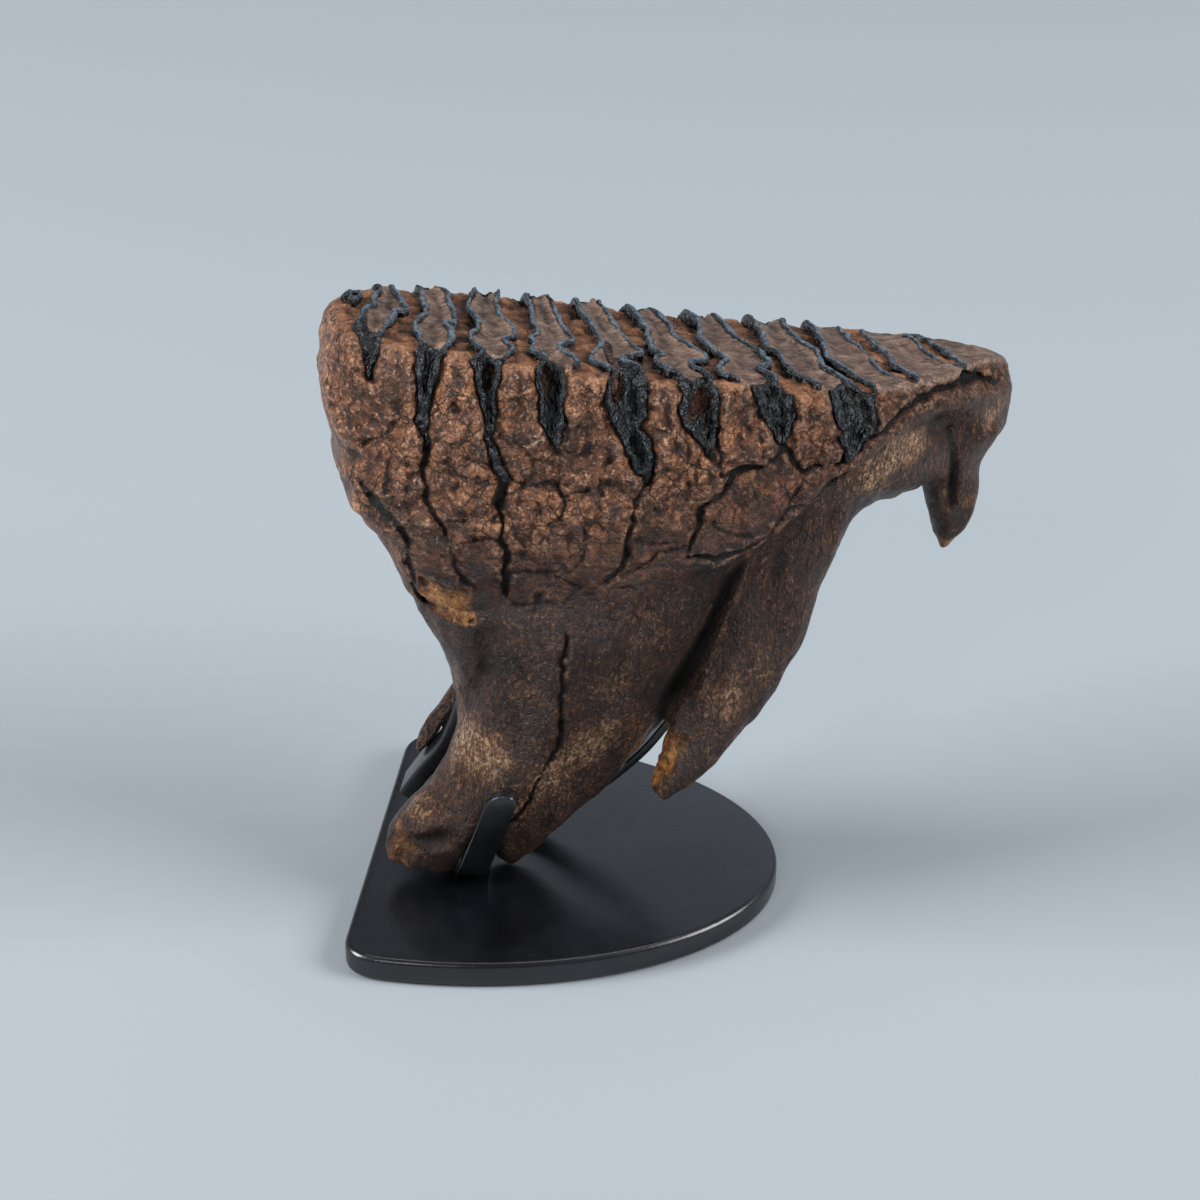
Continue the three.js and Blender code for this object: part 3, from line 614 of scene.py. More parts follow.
# A ledge runs under the worn end, and the end root has a notch on its outer side.
LEDGE = np.array([(52, -20), (62, -9.5), (78, -4.6), (100, -5.5)])
LEDGE_HALF, LEDGE_HEIGHT = 2.2, 0.7
NOTCH_AT, NOTCH_REACH, NOTCH_DEPTH = (103, -28), (6, 8), 2.6
ledge = LEDGE_HEIGHT * np.exp(-(line_distance(side_s, side_h, LEDGE) / LEDGE_HALF) ** 2)
notch = NOTCH_DEPTH * np.exp(-((SIDE.A - NOTCH_AT[0]) / NOTCH_REACH[0]) ** 2
                             - ((SIDE.B - NOTCH_AT[1]) / NOTCH_REACH[1]) ** 2)
root_relief = (ledge - notch - fold_depth - crack_depth + 0.5 * noise(side_axes, (9, 20), 62)
               + 0.25 * noise(side_axes, (3.5, 9), 63))
print(f"{len(FLUTES)} flutes, root relief from {root_relief.min():.1f} to {root_relief.max():.1f} mm")

# %% [markdown]
# ## Broken faces, rubbed spots and painted shade
# Where a piece has snapped off, the break is sunken and made of flat facets, and fresh dentine shows
# pale. Hands have rubbed the high places, and the low ones get painted shade. Painting a texture
# would need an unwrapped mesh, so both are spots on the same side map and colour the vertices.

# %% Broken faces and the tone map
FACET = 5.5  # the size of the flat facets that broken dentine shows
BREAK_DEPTH, BREAK_STEP = 0.9, 0.5  # how deep a break is, and how much its facets differ
torn_s, torn_h = side_s + 0.5 * noise(side_axes, 2.4, 71), side_h + 0.5 * noise(side_axes, 2.4, 72)
broken = np.zeros(SIDE.A.shape)
broken_depth = np.zeros(SIDE.A.shape)
_, facet_step = cells(torn_s, torn_h, FACET, 73)
for fresh, points in BREAKS:
    outline = np.array(points, float)
    away = line_distance(torn_s, torn_h, outline, True) * np.where(inside(torn_s, torn_h, outline), -1, 1)
    face = smooth_step(0.5, -0.7, away)
    broken = np.maximum(broken, fresh * face)
    broken_depth = np.maximum(broken_depth, face * (BREAK_DEPTH + BREAK_STEP * facet_step))
broken_depth = broken_depth * (1 + 0.3 * noise(side_axes, 1.6, 74))
tone = np.zeros(SIDE.A.shape)
for s, h, wide, high, strength in TONES:
    tone += strength * np.exp(-((side_s - s) / wide) ** 2 - ((side_h - h) / high) ** 2)
print(f"broken faces take {(broken > 0).mean():.1%} of the map")
print(f"tone from {tone.min():.1f} to {tone.max():.1f}")

# %% [markdown]
# ## From solids to a distance field
# A signed distance field holds, at every grid point, how far the surface is: negative inside and
# positive outside. Two fields join by taking the smaller value, and adding a number moves the
# surface in or out, so relief is only arithmetic.


# %% A block of grid points
class Block:
    """A box of grid points in the tooth frame."""

    def __init__(self, low, high, step):
        self.step = step
        self.low = np.array(low, float)
        self.axes = [np.arange(a, b + step, step) for a, b in zip(low, high)]
        self.shape = tuple(len(axis) for axis in self.axes)
        self.S = self.axes[0][:, None, None].astype(np.float32)
        self.W = self.axes[1][None, :, None].astype(np.float32)
        self.H = self.axes[2][None, None, :].astype(np.float32)

    def plan(self, values):
        """A chewing-surface map spread through the block."""
        s, w = np.meshgrid(self.axes[0], self.axes[1], indexing="ij")
        return PLAN.read(values, s, w)[:, :, None]

    def side(self, values):
        """A side map spread through the block."""
        s, h = np.meshgrid(self.axes[0], self.axes[2], indexing="ij")
        return SIDE.read(values, s, h)[:, None, :]

    def read(self, field, points):
        """The field's values at scattered points."""
        place = (points - self.low) / self.step
        place = np.clip(place, 0, np.array(self.shape) - 1.001)
        cell = place.astype(int)
        t = place - cell
        total = np.zeros(len(points))
        for corner in range(8):
            pick = [(corner >> k) & 1 for k in range(3)]
            weight = np.prod([t[:, k] if pick[k] else 1 - t[:, k] for k in range(3)], axis=0)
            total += weight * field[tuple(cell[:, k] + pick[k] for k in range(3))]
        return total


# %% A solid's distance, and the distance from any level of a field
def cad_distance(node, block, reach):
    """The signed distance to one CAD solid, in mm, out to reach on both sides."""
    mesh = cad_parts[node].data
    points = np.empty(len(mesh.vertices) * 3, np.float32)
    mesh.vertices.foreach_get("co", points)
    mesh.calc_loop_triangles()
    corners = np.empty(len(mesh.loop_triangles) * 3, np.int32)
    mesh.loop_triangles.foreach_get("vertices", corners)
    places = ((to_tooth(points.reshape(-1, 3)) - block.low) / block.step).astype(np.float32)
    grid = vdb.FloatGrid.createLevelSetFromPolygons(
        places, triangles=corners.reshape(-1, 3).astype(np.uint32), halfWidth=reach / block.step)
    field = np.full(block.shape, reach / block.step, np.float32)
    grid.copyToArray(field)
    return field * block.step


def distance_from(field, block, level, reach):
    """Takes the skin where the field has this level, and measures the distance from it again."""
    grid = vdb.FloatGrid(reach)
    grid.copyFromArray(field)
    points, _, quads = grid.convertToPolygons(isovalue=level, adaptivity=0.0)
    skin_grid = vdb.FloatGrid.createLevelSetFromPolygons(
        points, quads=quads.astype(np.uint32), halfWidth=reach / block.step)
    distance = np.full(block.shape, reach / block.step, np.float32)
    skin_grid.copyToArray(distance)
    return distance * block.step


# %% Close, join, cut and resample fields
def close_cuts(field, block, swell, reach):
    """Swells the solid and shrinks it back, which fills every cut narrower than twice the swell."""
    swollen = distance_from(field, block, swell, reach)
    return distance_from(swollen, block, -swell, reach)


def join(a, b, soft):
    """The union of two fields, with a fillet about soft mm across."""
    mix = np.clip(0.5 + 0.5 * (b - a) / soft, 0, 1)
    return b * (1 - mix) + a * mix - soft * mix * (1 - mix)


def cut_soft(a, b, soft):
    """The part inside both fields, with its edge rounded."""
    return -join(-a, -b, soft)


def resample(field, source, target):
    """Reads a whole field on another block's axes."""
    for axis in range(3):
        place = np.clip((target.axes[axis] - source.low[axis]) / source.step, 0, source.shape[axis] - 1.001)
        base = place.astype(int)
        t = (place - base).astype(np.float32).reshape([-1 if k == axis else 1 for k in range(3)])
        field = np.take(field, base, axis) * (1 - t) + np.take(field, base + 1, axis) * t
    return field


# %% [markdown]
# ## The whole tooth as one field
# The CAD crown and roots join here with soft fillets, so the thin cuts between them vanish. The
# crown's side runs straight on up past the chewing surface, leaning in to round the rim; the
# chewing surface itself is cut by its own map afterwards.

# %% Join the CAD solids
WHOLE = Block((-103, -44, -172), (119, 60, 8), 0.65)
REACH = 7.5  # how far from its surface a solid's distance is known
OPENING_FILL = 6.2  # wider than half of any opening or valley of the CAD crown
SEAM_FILL = 0.5  # wider than half of the cuts between the CAD solids
FILLETS = {"root_left_lobe": 1.5, "root_right_lobe": 1.5, "root_long": 2.5, "root_end": 4.0,
           "root_back": 2.5}
RIM_FROM = -6.0
RIM_LEAN, RIM_CURVE = 0.22, 0.045  # how fast the side leans in above that height, and how it bends
FACET_BLUR = 1.2  # softens the CAD solids' flat facets

tooth = close_cuts(cad_distance("crown", WHOLE, REACH), WHOLE, OPENING_FILL, REACH)
for node, soft in FILLETS.items():
    tooth = join(tooth, cad_distance(node, WHOLE, REACH), soft)
tooth = close_cuts(tooth, WHOLE, SEAM_FILL, REACH)
rim_index = int(round((RIM_FROM - WHOLE.low[2]) / WHOLE.step))
rise = np.maximum(0, WHOLE.H[..., rim_index:] - RIM_FROM)
tooth[:, :, rim_index:] = tooth[:, :, rim_index:rim_index + 1] + RIM_LEAN * rise + RIM_CURVE * rise ** 2
tooth = blur(tooth, FACET_BLUR / WHOLE.step)
print("joined field:", tooth.shape, f"{(tooth < 0).sum() * WHOLE.step ** 3 / 1e6:.3f} litres")

# %% [markdown]
# ## Crown and roots out of one skin
# Cement and root are one continuous surface on the real tooth, so both pieces are cut from one
# relief. Meeting edge to edge they would show a seam. Instead each sinks under the other along the
# ragged neck line and goes on a little way inside it, and so each is a closed piece of its own.

# %% One skin with all its relief
SIDES_MEET = 7  # the two sides' reliefs fade into each other this far on either side of the middle
near = 1 - smooth_step(-SIDES_MEET, SIDES_MEET, WHOLE.W - bend_at(WHOLE.S))
neck_line = neck_at(SIDE.A) + 1.3 * noise(side_axes, 9, 41) + 0.8 * noise(side_axes, 3.5, 42)
below = WHOLE.side(neck_line) - WHOLE.H
root_share = smooth_step(-1.0, 2.0, neck_line - SIDE.B)
far_root = 0.9 * noise(side_axes, (10, 34), 64) + 0.4 * noise(side_axes, (4, 12), 65) - notch
near_side_relief = near_cement * (1 - root_share) + root_relief * root_share - broken_depth
far_side_relief = far_cement * (1 - root_share) + far_root * root_share
skin = tooth - near * WHOLE.side(near_side_relief) - (1 - near) * WHOLE.side(far_side_relief)
skin -= 0.3 * noise(WHOLE.axes, 9, 43) + 0.14 * noise(WHOLE.axes, 3, 44)
fibres = 0.28 * noise(WHOLE.axes, (2.6, 2.6, 16), 46) + 0.16 * noise(WHOLE.axes, (1.6, 1.6, 6), 47)
skin -= smooth_step(0, 5, below) * fibres
print(f"neck from {neck_line.min():.0f} to {neck_line.max():.0f} mm")

# %% Cut the skin at the chewing surface and at the neck
DIVE, OVERLAP = 2.4, 5  # each piece sinks this deep under the other at the neck, and goes on this far
RIM_ROUND = 1.2
ROOTS_BELOW = 2.5  # the roots' own top lies this far under the chewing surface
top_cut = WHOLE.H - WHOLE.plan(top_height)
crown = skin + DIVE * smooth_step(0, 4, below)
crown = np.maximum(crown, below - OVERLAP)
crown = cut_soft(crown, top_cut, RIM_ROUND)
roots = skin + DIVE * smooth_step(0, 4, -below)
roots = np.maximum(roots, -below - OVERLAP)
roots = np.maximum(roots, top_cut + ROOTS_BELOW)
whole_skin = cut_soft(skin, top_cut, RIM_ROUND)
print(f"whole skin: {(whole_skin < 0).sum() * WHOLE.step ** 3 / 1e6:.3f} litres")

# %% [markdown]
# ## Enamel
# Enamel shows as ribbons on the chewing surface, and as a skin that faces the openings. A ribbon is
# only about 1.4 mm thick, too thin for the big grid, so the enamel is carved on a finer one that
# covers the top of the crown. It is a piece of its own, which keeps its edge with the cement crisp.

# %% Carve the enamel on a finer grid
FINE = Block((-95, -42, -31), (92, 48, 6), 0.42)
RIBBON_DEPTH = 1.6  # how far a ribbon is sunk in the chewing surface
END_DROP = 0.8  # how much lower a ribbon ends at the tooth's side
PROUD = 0.4  # how far a ribbon may stand out of the side
FACING = 1.8  # the thickness of the skin in the openings
side_distance = resample(tooth, WHOLE, FINE)
near_fine = FINE.W < bend_at(FINE.S)
end_drop = END_DROP * smooth_step(-2.0, 0.8, side_distance)
ribbon = np.maximum(FINE.plan(enamel_edge - enamel_half), FINE.H - FINE.plan(crest_height) + end_drop)
ribbon = np.maximum(ribbon, FINE.plan(top_height - RIBBON_DEPTH) - FINE.H)
ribbon = np.maximum(ribbon, side_distance - PROUD)
out = side_distance - np.where(near_fine, FINE.side(near_relief), FINE.side(far_relief))
gap = np.where(near_fine, FINE.side(opening), FINE.side(tongue_opening))
facing = np.maximum(np.maximum(out, -out - FACING), gap - 0.1)
facing = np.maximum(facing, FINE.H - FINE.plan(np.minimum(chew + 1.2, top_height - 0.4)))
enamel = blur(np.minimum(ribbon, facing), 0.6)
body_under = resample(whole_skin, WHOLE, FINE)
print("enamel field:", enamel.shape)

# %% [markdown]
# ## From fields back to meshes
# The surface of a field is where it crosses zero. The mesher follows that surface with small faces
# and uses bigger ones where it is flat. Each vertex then carries what the materials need to know:
# its place in the tooth, whether it lies on the chewing surface, in dentine, in an opening or in a
# crack, and how sharply the surface bends there.

# %% The surface of a field
OUTSIDE = 5.0  # the field's value beyond the grid, which is empty space


def surface_of(field, block, adaptivity):
    """Points in tooth mm, quads and triangles of the zero surface. Faces are wound outward."""
    grid = vdb.FloatGrid(OUTSIDE)
    grid.copyFromArray(np.ascontiguousarray(field, np.float32))
    points, triangles, quads = grid.convertToPolygons(isovalue=0.0, adaptivity=adaptivity)
    points = points.astype(float) * block.step + block.low
    triangles, quads = triangles.astype(int), quads.astype(int)
    halves = np.vstack([triangles, quads[:, :3], quads[:, [0, 2, 3]]])
    a, b, c = (points[halves[:, k]] for k in range(3))
    volume = np.einsum("ij,ij->i", a, np.cross(b, c)).sum() / 6
    if volume < 0:
        triangles, quads = triangles[:, ::-1], quads[:, ::-1]
    return points, triangles, quads


# %% Loose crumbs
def drop_crumbs(points, triangles, quads, least):
    """Keeps only the connected bodies that have at least this many points."""
    pairs = np.vstack([triangles[:, :2], triangles[:, 1:], quads[:, :2], quads[:, 1:3], quads[:, 2:]])
    label = np.arange(len(points))
    while True:
        smaller = label.copy()
        np.minimum.at(smaller, pairs[:, 0], label[pairs[:, 1]])
        np.minimum.at(smaller, pairs[:, 1], label[pairs[:, 0]])
        smaller = smaller[smaller]
        if (smaller == label).all():
            break
        label = smaller
    sizes = np.bincount(label, minlength=len(points))
    keep = sizes[label] >= least
    fresh = np.cumsum(keep) - 1
    triangles = fresh[triangles[keep[triangles[:, 0]]]]
    quads = fresh[quads[keep[quads[:, 0]]]]
    return points[keep], triangles, quads, int((sizes >= least).sum())


# %% A mesh, and numbers stored on its vertices
def mesh_object(name, points, triangles, quads):
    """A smooth-shaded mesh object from points in tooth mm."""
    mesh = bpy.data.meshes.new(name)
    mesh.vertices.add(len(points))
    mesh.vertices.foreach_set("co", to_world(points).astype(np.float32).ravel())
    mesh.loops.add(3 * len(triangles) + 4 * len(quads))
    corners = np.concatenate([triangles.ravel(), quads.ravel()])
    mesh.loops.foreach_set("vertex_index", corners.astype(np.int32))
    quads_from = 3 * len(triangles)
    starts = np.concatenate([np.arange(len(triangles)) * 3, quads_from + np.arange(len(quads)) * 4])
    mesh.polygons.add(len(starts))
    mesh.polygons.foreach_set("loop_start", starts.astype(np.int32))
    mesh.update(calc_edges=True)
    mesh.shade_smooth()
    piece = bpy.data.objects.new(name, mesh)
    bpy.context.scene.collection.objects.link(piece)
    return piece


def give(piece, name, values):
    """Stores one number, or one vector, for each vertex."""
    kind = "FLOAT_VECTOR" if values.ndim == 2 else "FLOAT"
    layer = piece.data.attributes.new(name, kind, "POINT")
    layer.data.foreach_set("vector" if values.ndim == 2 else "value", values.astype(np.float32).ravel())


# %% One piece with everything that the materials need to know
FINE_BEND, WIDE_BEND = 1.0, 3.2  # the radii in mm over which the surface's bend is measured
NO_CRACK = 9.0  # a distance at which no crack is drawn


def bend_of(field, block, points, radius):
    """How sharply the surface bends: above 0 on ridges and below 0 in grooves."""
    return block.read(blur(np.clip(field, -REACH, REACH), radius / block.step), points)


def carve(name, field, block, adaptivity, least):
    """One closed piece of the tooth with the facts that every tooth material uses."""
    points, triangles, quads = surface_of(field, block, adaptivity)
    points, triangles, quads, bodies = drop_crumbs(points, triangles, quads, least)
    piece = mesh_object(name, points, triangles, quads)
    s, w, h = points.T
    near_side = w < bend_at(s)
    give(piece, "place", points)
    bend_field = whole_skin if block is WHOLE else np.minimum(field, body_under)
    give(piece, "fine_bend", bend_of(bend_field, block, points, FINE_BEND))
    give(piece, "wide_bend", bend_of(bend_field, block, points, WIDE_BEND))
    give(piece, "top", smooth_step(-1.9, -0.5, h - PLAN.read(top_height, s, w)))
    give(piece, "dentine", PLAN.read(dentine, s, w))
    give(piece, "below_neck", SIDE.read(neck_line, s, h) - h)
    gap = np.where(near_side, SIDE.read(opening, s, h), SIDE.read(tongue_opening, s, h))
    give(piece, "opening_gap", gap)
    give(piece, "crack_gap", np.where(near_side, SIDE.read(crack_gap, s, h), NO_CRACK))
    give(piece, "joint_gap", SIDE.read(joint_gap, s, h))
    give(piece, "broken", np.where(near_side, SIDE.read(broken, s, h), 0.0))
    give(piece, "tone", np.where(near_side, SIDE.read(tone, s, h), 0.0))
    print(f"{name}: {bodies} bodies, {len(points)} points, {len(triangles) + 2 * len(quads)} triangles")
    return piece, points


# %% Make the three pieces of the tooth
# The adaptivity lets flat places have bigger faces. Loose bodies with fewer points are crumbs.
crown_piece, _ = carve("tooth_crown", crown, WHOLE, adaptivity=0.04, least=3000)
roots_piece, _ = carve("tooth_roots", roots, WHOLE, adaptivity=0.04, least=3000)
enamel_piece, enamel_points = carve("tooth_enamel", enamel, FINE, adaptivity=0.08, least=200)
s, w, h = enamel_points.T
give(enamel_piece, "crest", smooth_step(-1.3, 0.1, h - PLAN.read(crest_height, s, w)))
give(enamel_piece, "hollow", SIDE.read(hollow, s, h))
stored = [layer.name for layer in enamel_piece.data.attributes if layer.domain == "POINT"]
print("stored on the enamel's vertices:", ", ".join(stored))

# %% [markdown]
# ## Materials
# Every material is built from nodes. The tooth's materials read the numbers stored on the vertices
# and add noise whose size is given in millimetres of real tooth. A distance stored on vertices
# stays exact between them, so a crack can be drawn much finer than the mesh.


# %% One function adds a node
def colour(text):
    """An sRGB colour such as "8a6450" as the linear numbers that a shader uses."""
    parts = [int(text[k:k + 2], 16) / 255 for k in (0, 2, 4)]
    return tuple(c / 12.92 if c <= 0.04045 else ((c + 0.055) / 1.055) ** 2.4 for c in parts) + (1.0,)


def add(tree, kind, inputs=None, out=0, stops=(), **settings):
    """Adds one node with its settings and links, and returns one of its outputs.

    The kind is a shader node's unless its whole name is given. An input that is given another
    node's output is linked to it. The stops are a colour ramp's places and colours. With out=None
    the node itself is returned.
    """
    node = tree.nodes.new(kind if "Node" in kind else "ShaderNode" + kind)
    for key, value in settings.items():
        setattr(node, key, value)
    for key, value in (inputs or {}).items():
        if isinstance(value, bpy.types.NodeSocket):
            tree.links.new(value, node.inputs[key])
        else:
            node.inputs[key].default_value = value
    if stops:
        elements = node.color_ramp.elements
        while len(elements) < len(stops):
            elements.new(0.5)
        for element, (place, text) in zip(elements, sorted(stops)):
            element.position = place
            element.color = colour(text)
    return node if out is None else node.outputs[out]


# %% Sums, masks, tints, creases and webs, each built from several nodes
def weigh(tree, *pairs):
    """The sum of values, each times its weight."""
    total = add(tree, "Math", {0: pairs[0][0], 1: pairs[0][1]}, operation="MULTIPLY")
    for value, weight in pairs[1:]:
        total = add(tree, "Math", {0: value, 1: weight, 2: total}, operation="MULTIPLY_ADD")
    return total


def mask(tree, *steps):
    """Soft steps, multiplied. Each is a value, the two places that the step lies between, and the
    two results there, which are 0 and 1 unless they are given."""
    product = None
    for value, low, high, *results in steps:
        to_low, to_high = results or (0.0, 1.0)
        step = add(tree, "MapRange", {"Value": value, 1: low, 2: high, 3: to_low, 4: to_high},
                   interpolation_type="SMOOTHSTEP")
        product = step if product is None else weigh(tree, (product, step))
    return product


def tint(tree, factor, strength, base, text):
    """Lays one colour over the base, as far as factor times strength."""
    return add(tree, "Mix", {0: weigh(tree, (factor, strength)), 6: base, 7: colour(text)}, out=2,
               data_type="RGBA")


def creases(tree, place, size, roughness, distortion):
    """0 on thin wandering lines and higher between them. They are about size mm apart."""
    lumps = add(tree, "TexNoise", {"Vector": place, "Scale": 1 / size, "Detail": 4, "Roughness": roughness,
                                   "Distortion": distortion})
    away = add(tree, "Math", {0: lumps, 1: 0.5}, operation="SUBTRACT")
    return weigh(tree, (add(tree, "Math", {0: away}, operation="ABSOLUTE"), 4.0))


def web(tree, place, size, sway):
    """How far, in mm, the nearest wall of a bent web is, whose cells are about size mm across."""
    bend = add(tree, "TexNoise", {"Vector": place, "Scale": 2 / size, "Detail": 4, "Roughness": 0.6},
               out="Color")
    moved = add(tree, "VectorMath", {0: bend, 1: (sway, sway, sway), 2: place}, operation="MULTIPLY_ADD")
    wall = add(tree, "TexVoronoi", {"Vector": moved, "Scale": 1 / size}, out="Distance",
               feature="DISTANCE_TO_EDGE")
    return weigh(tree, (wall, size))


# %% Start and finish a material
def new_finish(name):
    material = bpy.data.materials.new(name)
    material.use_nodes = True
    material.node_tree.nodes.clear()
    return material, material.node_tree


def lay_out(tree, name):
    """Lays the nodes out in columns, so that the tree can be read."""
    for k, node in enumerate(tree.nodes):
        node.location = (220 * (k // 6) - 1600, -260 * (k % 6))
    print(f"{name}: {len(tree.nodes)} nodes")


def close_finish(material, tree, shader_inputs, height=None, depth_mm=0.3):
    """Adds the bump, the shader and the output."""
    if height is not None:
        bump = add(tree, "Bump", {"Height": height, "Distance": depth_mm * MM, "Strength": 1.0})
        shader_inputs = {**shader_inputs, "Normal": bump}
    add(tree, "OutputMaterial", {"Surface": add(tree, "BsdfPrincipled", shader_inputs)}, out=None)
    lay_out(tree, material.name)
    return material


# %% [markdown]
# ## Cement and root
# The hard skin of the crown and the roots is matt where it is gritty and has a slight shine on its
# worn grains, from the hardener that fossils are soaked in. Two separate materials would show a line
# at the neck, so both are mixed inside each of the two materials, by how far below the neck a place
# is. Real grit is a few tenths of a millimetre, too fine to show from where the tooth is seen, so it
# is drawn about twice as coarse.

# %% What the tooth's materials start from
# Each noise has a lump size in mm, a detail, a roughness and a distortion.
GRAINS = {"broad": (20, 3, 0.55, 0.0), "patch": (5, 6, 0.62, 0.5), "grit": (1.1, 5, 0.72, 0.0),
          "specks": (0.5, 3, 0.7, 0.0)}
SKIN_FACTS = ("below_neck", "tone", "broken", "crack_gap", "joint_gap", "fine_bend", "wide_bend")
BUMP_MM = 0.8
TOOTH_GLOSS = 0.5
print("shared noise, in mm:", {name: grain[0] for name, grain in GRAINS.items()})


def start_tooth(tree, more_facts=()):
    """The place in the tooth, the numbers stored on the vertices, and the noise that is shared."""
    place = add(tree, "Attribute", out="Vector", attribute_name="place")
    skin = {name: add(tree, "Attribute", out="Fac", attribute_name=name)
            for name in (*SKIN_FACTS, *more_facts)}
    grains = {name: add(tree, "TexNoise", {"Vector": place, "Scale": 1 / size, "Detail": detail,
                                           "Roughness": roughness, "Distortion": distortion})
              for name, (size, detail, roughness, distortion) in GRAINS.items()}
    grains["flake"] = creases(tree, place, 2.4, 0.6, 0.3)
    return place, skin, grains


# %% Cement
def cement_colours(tree, place, skin, grains):
    """Orange-brown cement: patches, lumps, grit, hairline cracks, and painted shade and highlights on flakes.
    """
    mixed = weigh(tree, (grains["broad"], 0.2), (grains["patch"], 0.32), (grains["grit"], 0.3),
                  (grains["specks"], 0.18))
    side = add(tree, "ValToRGB", {"Fac": mixed}, stops=[
        (0.38, "20110a"), (0.45, "51301d"), (0.50, "804e32"), (0.56, "b5774e"), (0.64, "edbc92")])
    # Painted shade in the creases between the flakes.
    side = tint(tree, mask(tree, (grains["flake"], 0.16, 0.0)), 0.75, side, "1c100a")
    # Painted highlight: pale specks on the flakes' tops, stronger higher up the side.
    pale = mask(tree, (grains["flake"], 0.3, 0.6), (grains["grit"], 0.46, 0.58),
                (skin["below_neck"], -45, -12, 1.0, 0.3))
    side = tint(tree, pale, 0.8, side, "e6bc98")
    hair = mask(tree, (web(tree, place, 5.0, 2.6), 0.08, 0.26, 1.0, 0.0), (grains["broad"], 0.40, 0.52))
    return tint(tree, hair, 0.85, side, "140b07"), hair


# %% Root
def root_colours(tree, place, skin, grains):
    """Darker, smoother root: fine streaks along it, worn pale specks, painted highlights, painted crease
    shade.
    """
    streaky = add(tree, "VectorMath", {0: place, 1: (1.0, 1.0, 0.34)}, operation="MULTIPLY")
    streak = add(tree, "TexNoise", {"Vector": streaky, "Scale": 1 / 0.9, "Detail": 6, "Roughness": 0.74,
                                    "Distortion": 0.4})
    mixed = weigh(tree, (grains["broad"], 0.2), (grains["patch"], 0.2), (streak, 0.36),
                  (grains["grit"], 0.24))
    base = add(tree, "ValToRGB", {"Fac": mixed}, stops=[
        (0.39, "1c110a"), (0.45, "402819"), (0.50, "61402b"), (0.56, "885e3e"), (0.64, "bf8f60")])
    rubbed = mask(tree, (skin["tone"], 0.0, 1.0))
    spots = weigh(tree, (grains["patch"], 0.2), (streak, 0.5), (grains["grit"], 0.55), (rubbed, 0.08))
    worn = mask(tree, (grains["patch"], 0.5, 0.66), (spots, 0.61, 0.71))
    base = tint(tree, worn, 0.5, base, "946c50")
    base = tint(tree, rubbed, 0.3, base, "9d6f49")
    base = tint(tree, mask(tree, (spots, 0.655, 0.715)), 0.7, base, "c3936a")
    # Painted highlight: the palest specks.
    base = tint(tree, mask(tree, (spots, 0.71, 0.78)), 0.85, base, "f2d0ac")
    grown = add(tree, "VectorMath", {0: place, 1: (1.0, 1.0, 0.4)}, operation="MULTIPLY")
    fold = creases(tree, grown, 1.5, 0.62, 0.5)
    split = mask(tree, (web(tree, grown, 3.4, 1.8), 0.06, 0.22, 1.0, 0.0), (grains["broad"], 0.42, 0.54))
    # Painted shade in the creases of the bark.
    base = tint(tree, mask(tree, (fold, 0.14, 0.0)), 0.6, base, "1a110c")
    bark = weigh(tree, (streak, 1.0), (fold, 0.8), (split, -0.8))
    return tint(tree, split, 0.7, base, "140c08"), bark


# %% Cement and root together
def hard_skin(tree, place, skin, grains):
    """Colour and height that the crown and the roots share, so that no line shows at the neck."""
    ragged_neck = weigh(tree, (skin["below_neck"], 1.0), (grains["patch"], 9.0))
    neck = mask(tree, (ragged_neck, 1.5, 8.0))
    root, bark = root_colours(tree, place, skin, grains)
    cement, hair = cement_colours(tree, place, skin, grains)
    base = add(tree, "Mix", {0: neck, 6: cement, 7: root}, out=2, data_type="RGBA")
    # Painted shade: from a little above the neck downwards the colour is darkened, less on rubbed spots.
    low = mask(tree, (skin["below_neck"], -38, -2), (skin["tone"], 0.1, 1.0, 0.85, 0.5))
    shaded = add(tree, "Mix", {0: 1.0, 6: base, 7: colour("927a6c")}, out=2, data_type="RGBA",
                 blend_type="MULTIPLY")
    base = add(tree, "Mix", {0: low, 6: base, 7: shaded}, out=2, data_type="RGBA")
    # Painted shade from the tone map's dark spots.
    painted_shade_spots = mask(tree, (skin["tone"], -0.1, -0.8), (grains["patch"], 0.36, 0.56))
    base = tint(tree, painted_shade_spots, 0.85, base, "16110f")
    mixed = weigh(tree, (grains["grit"], 0.45), (grains["patch"], 0.55))
    fresh = add(tree, "ValToRGB", {"Fac": mixed}, stops=[
        (0.37, "2e170b"), (0.44, "7a4824"), (0.51, "b07238"), (0.58, "d39a58"), (0.68, "f0cd96")])
    base = add(tree, "Mix", {0: skin["broken"], 6: base, 7: fresh}, out=2, data_type="RGBA")
    height = weigh(tree, (grains["patch"], 0.9), (grains["flake"], 0.45), (grains["grit"], 1.3),
                   (grains["specks"], 0.8), (hair, -0.5))
    height = weigh(tree, (height, mask(tree, (neck, 0.0, 1.0, 1.0, 0.5))), (weigh(tree, (bark, neck)), 0.9))
    return base, height, neck
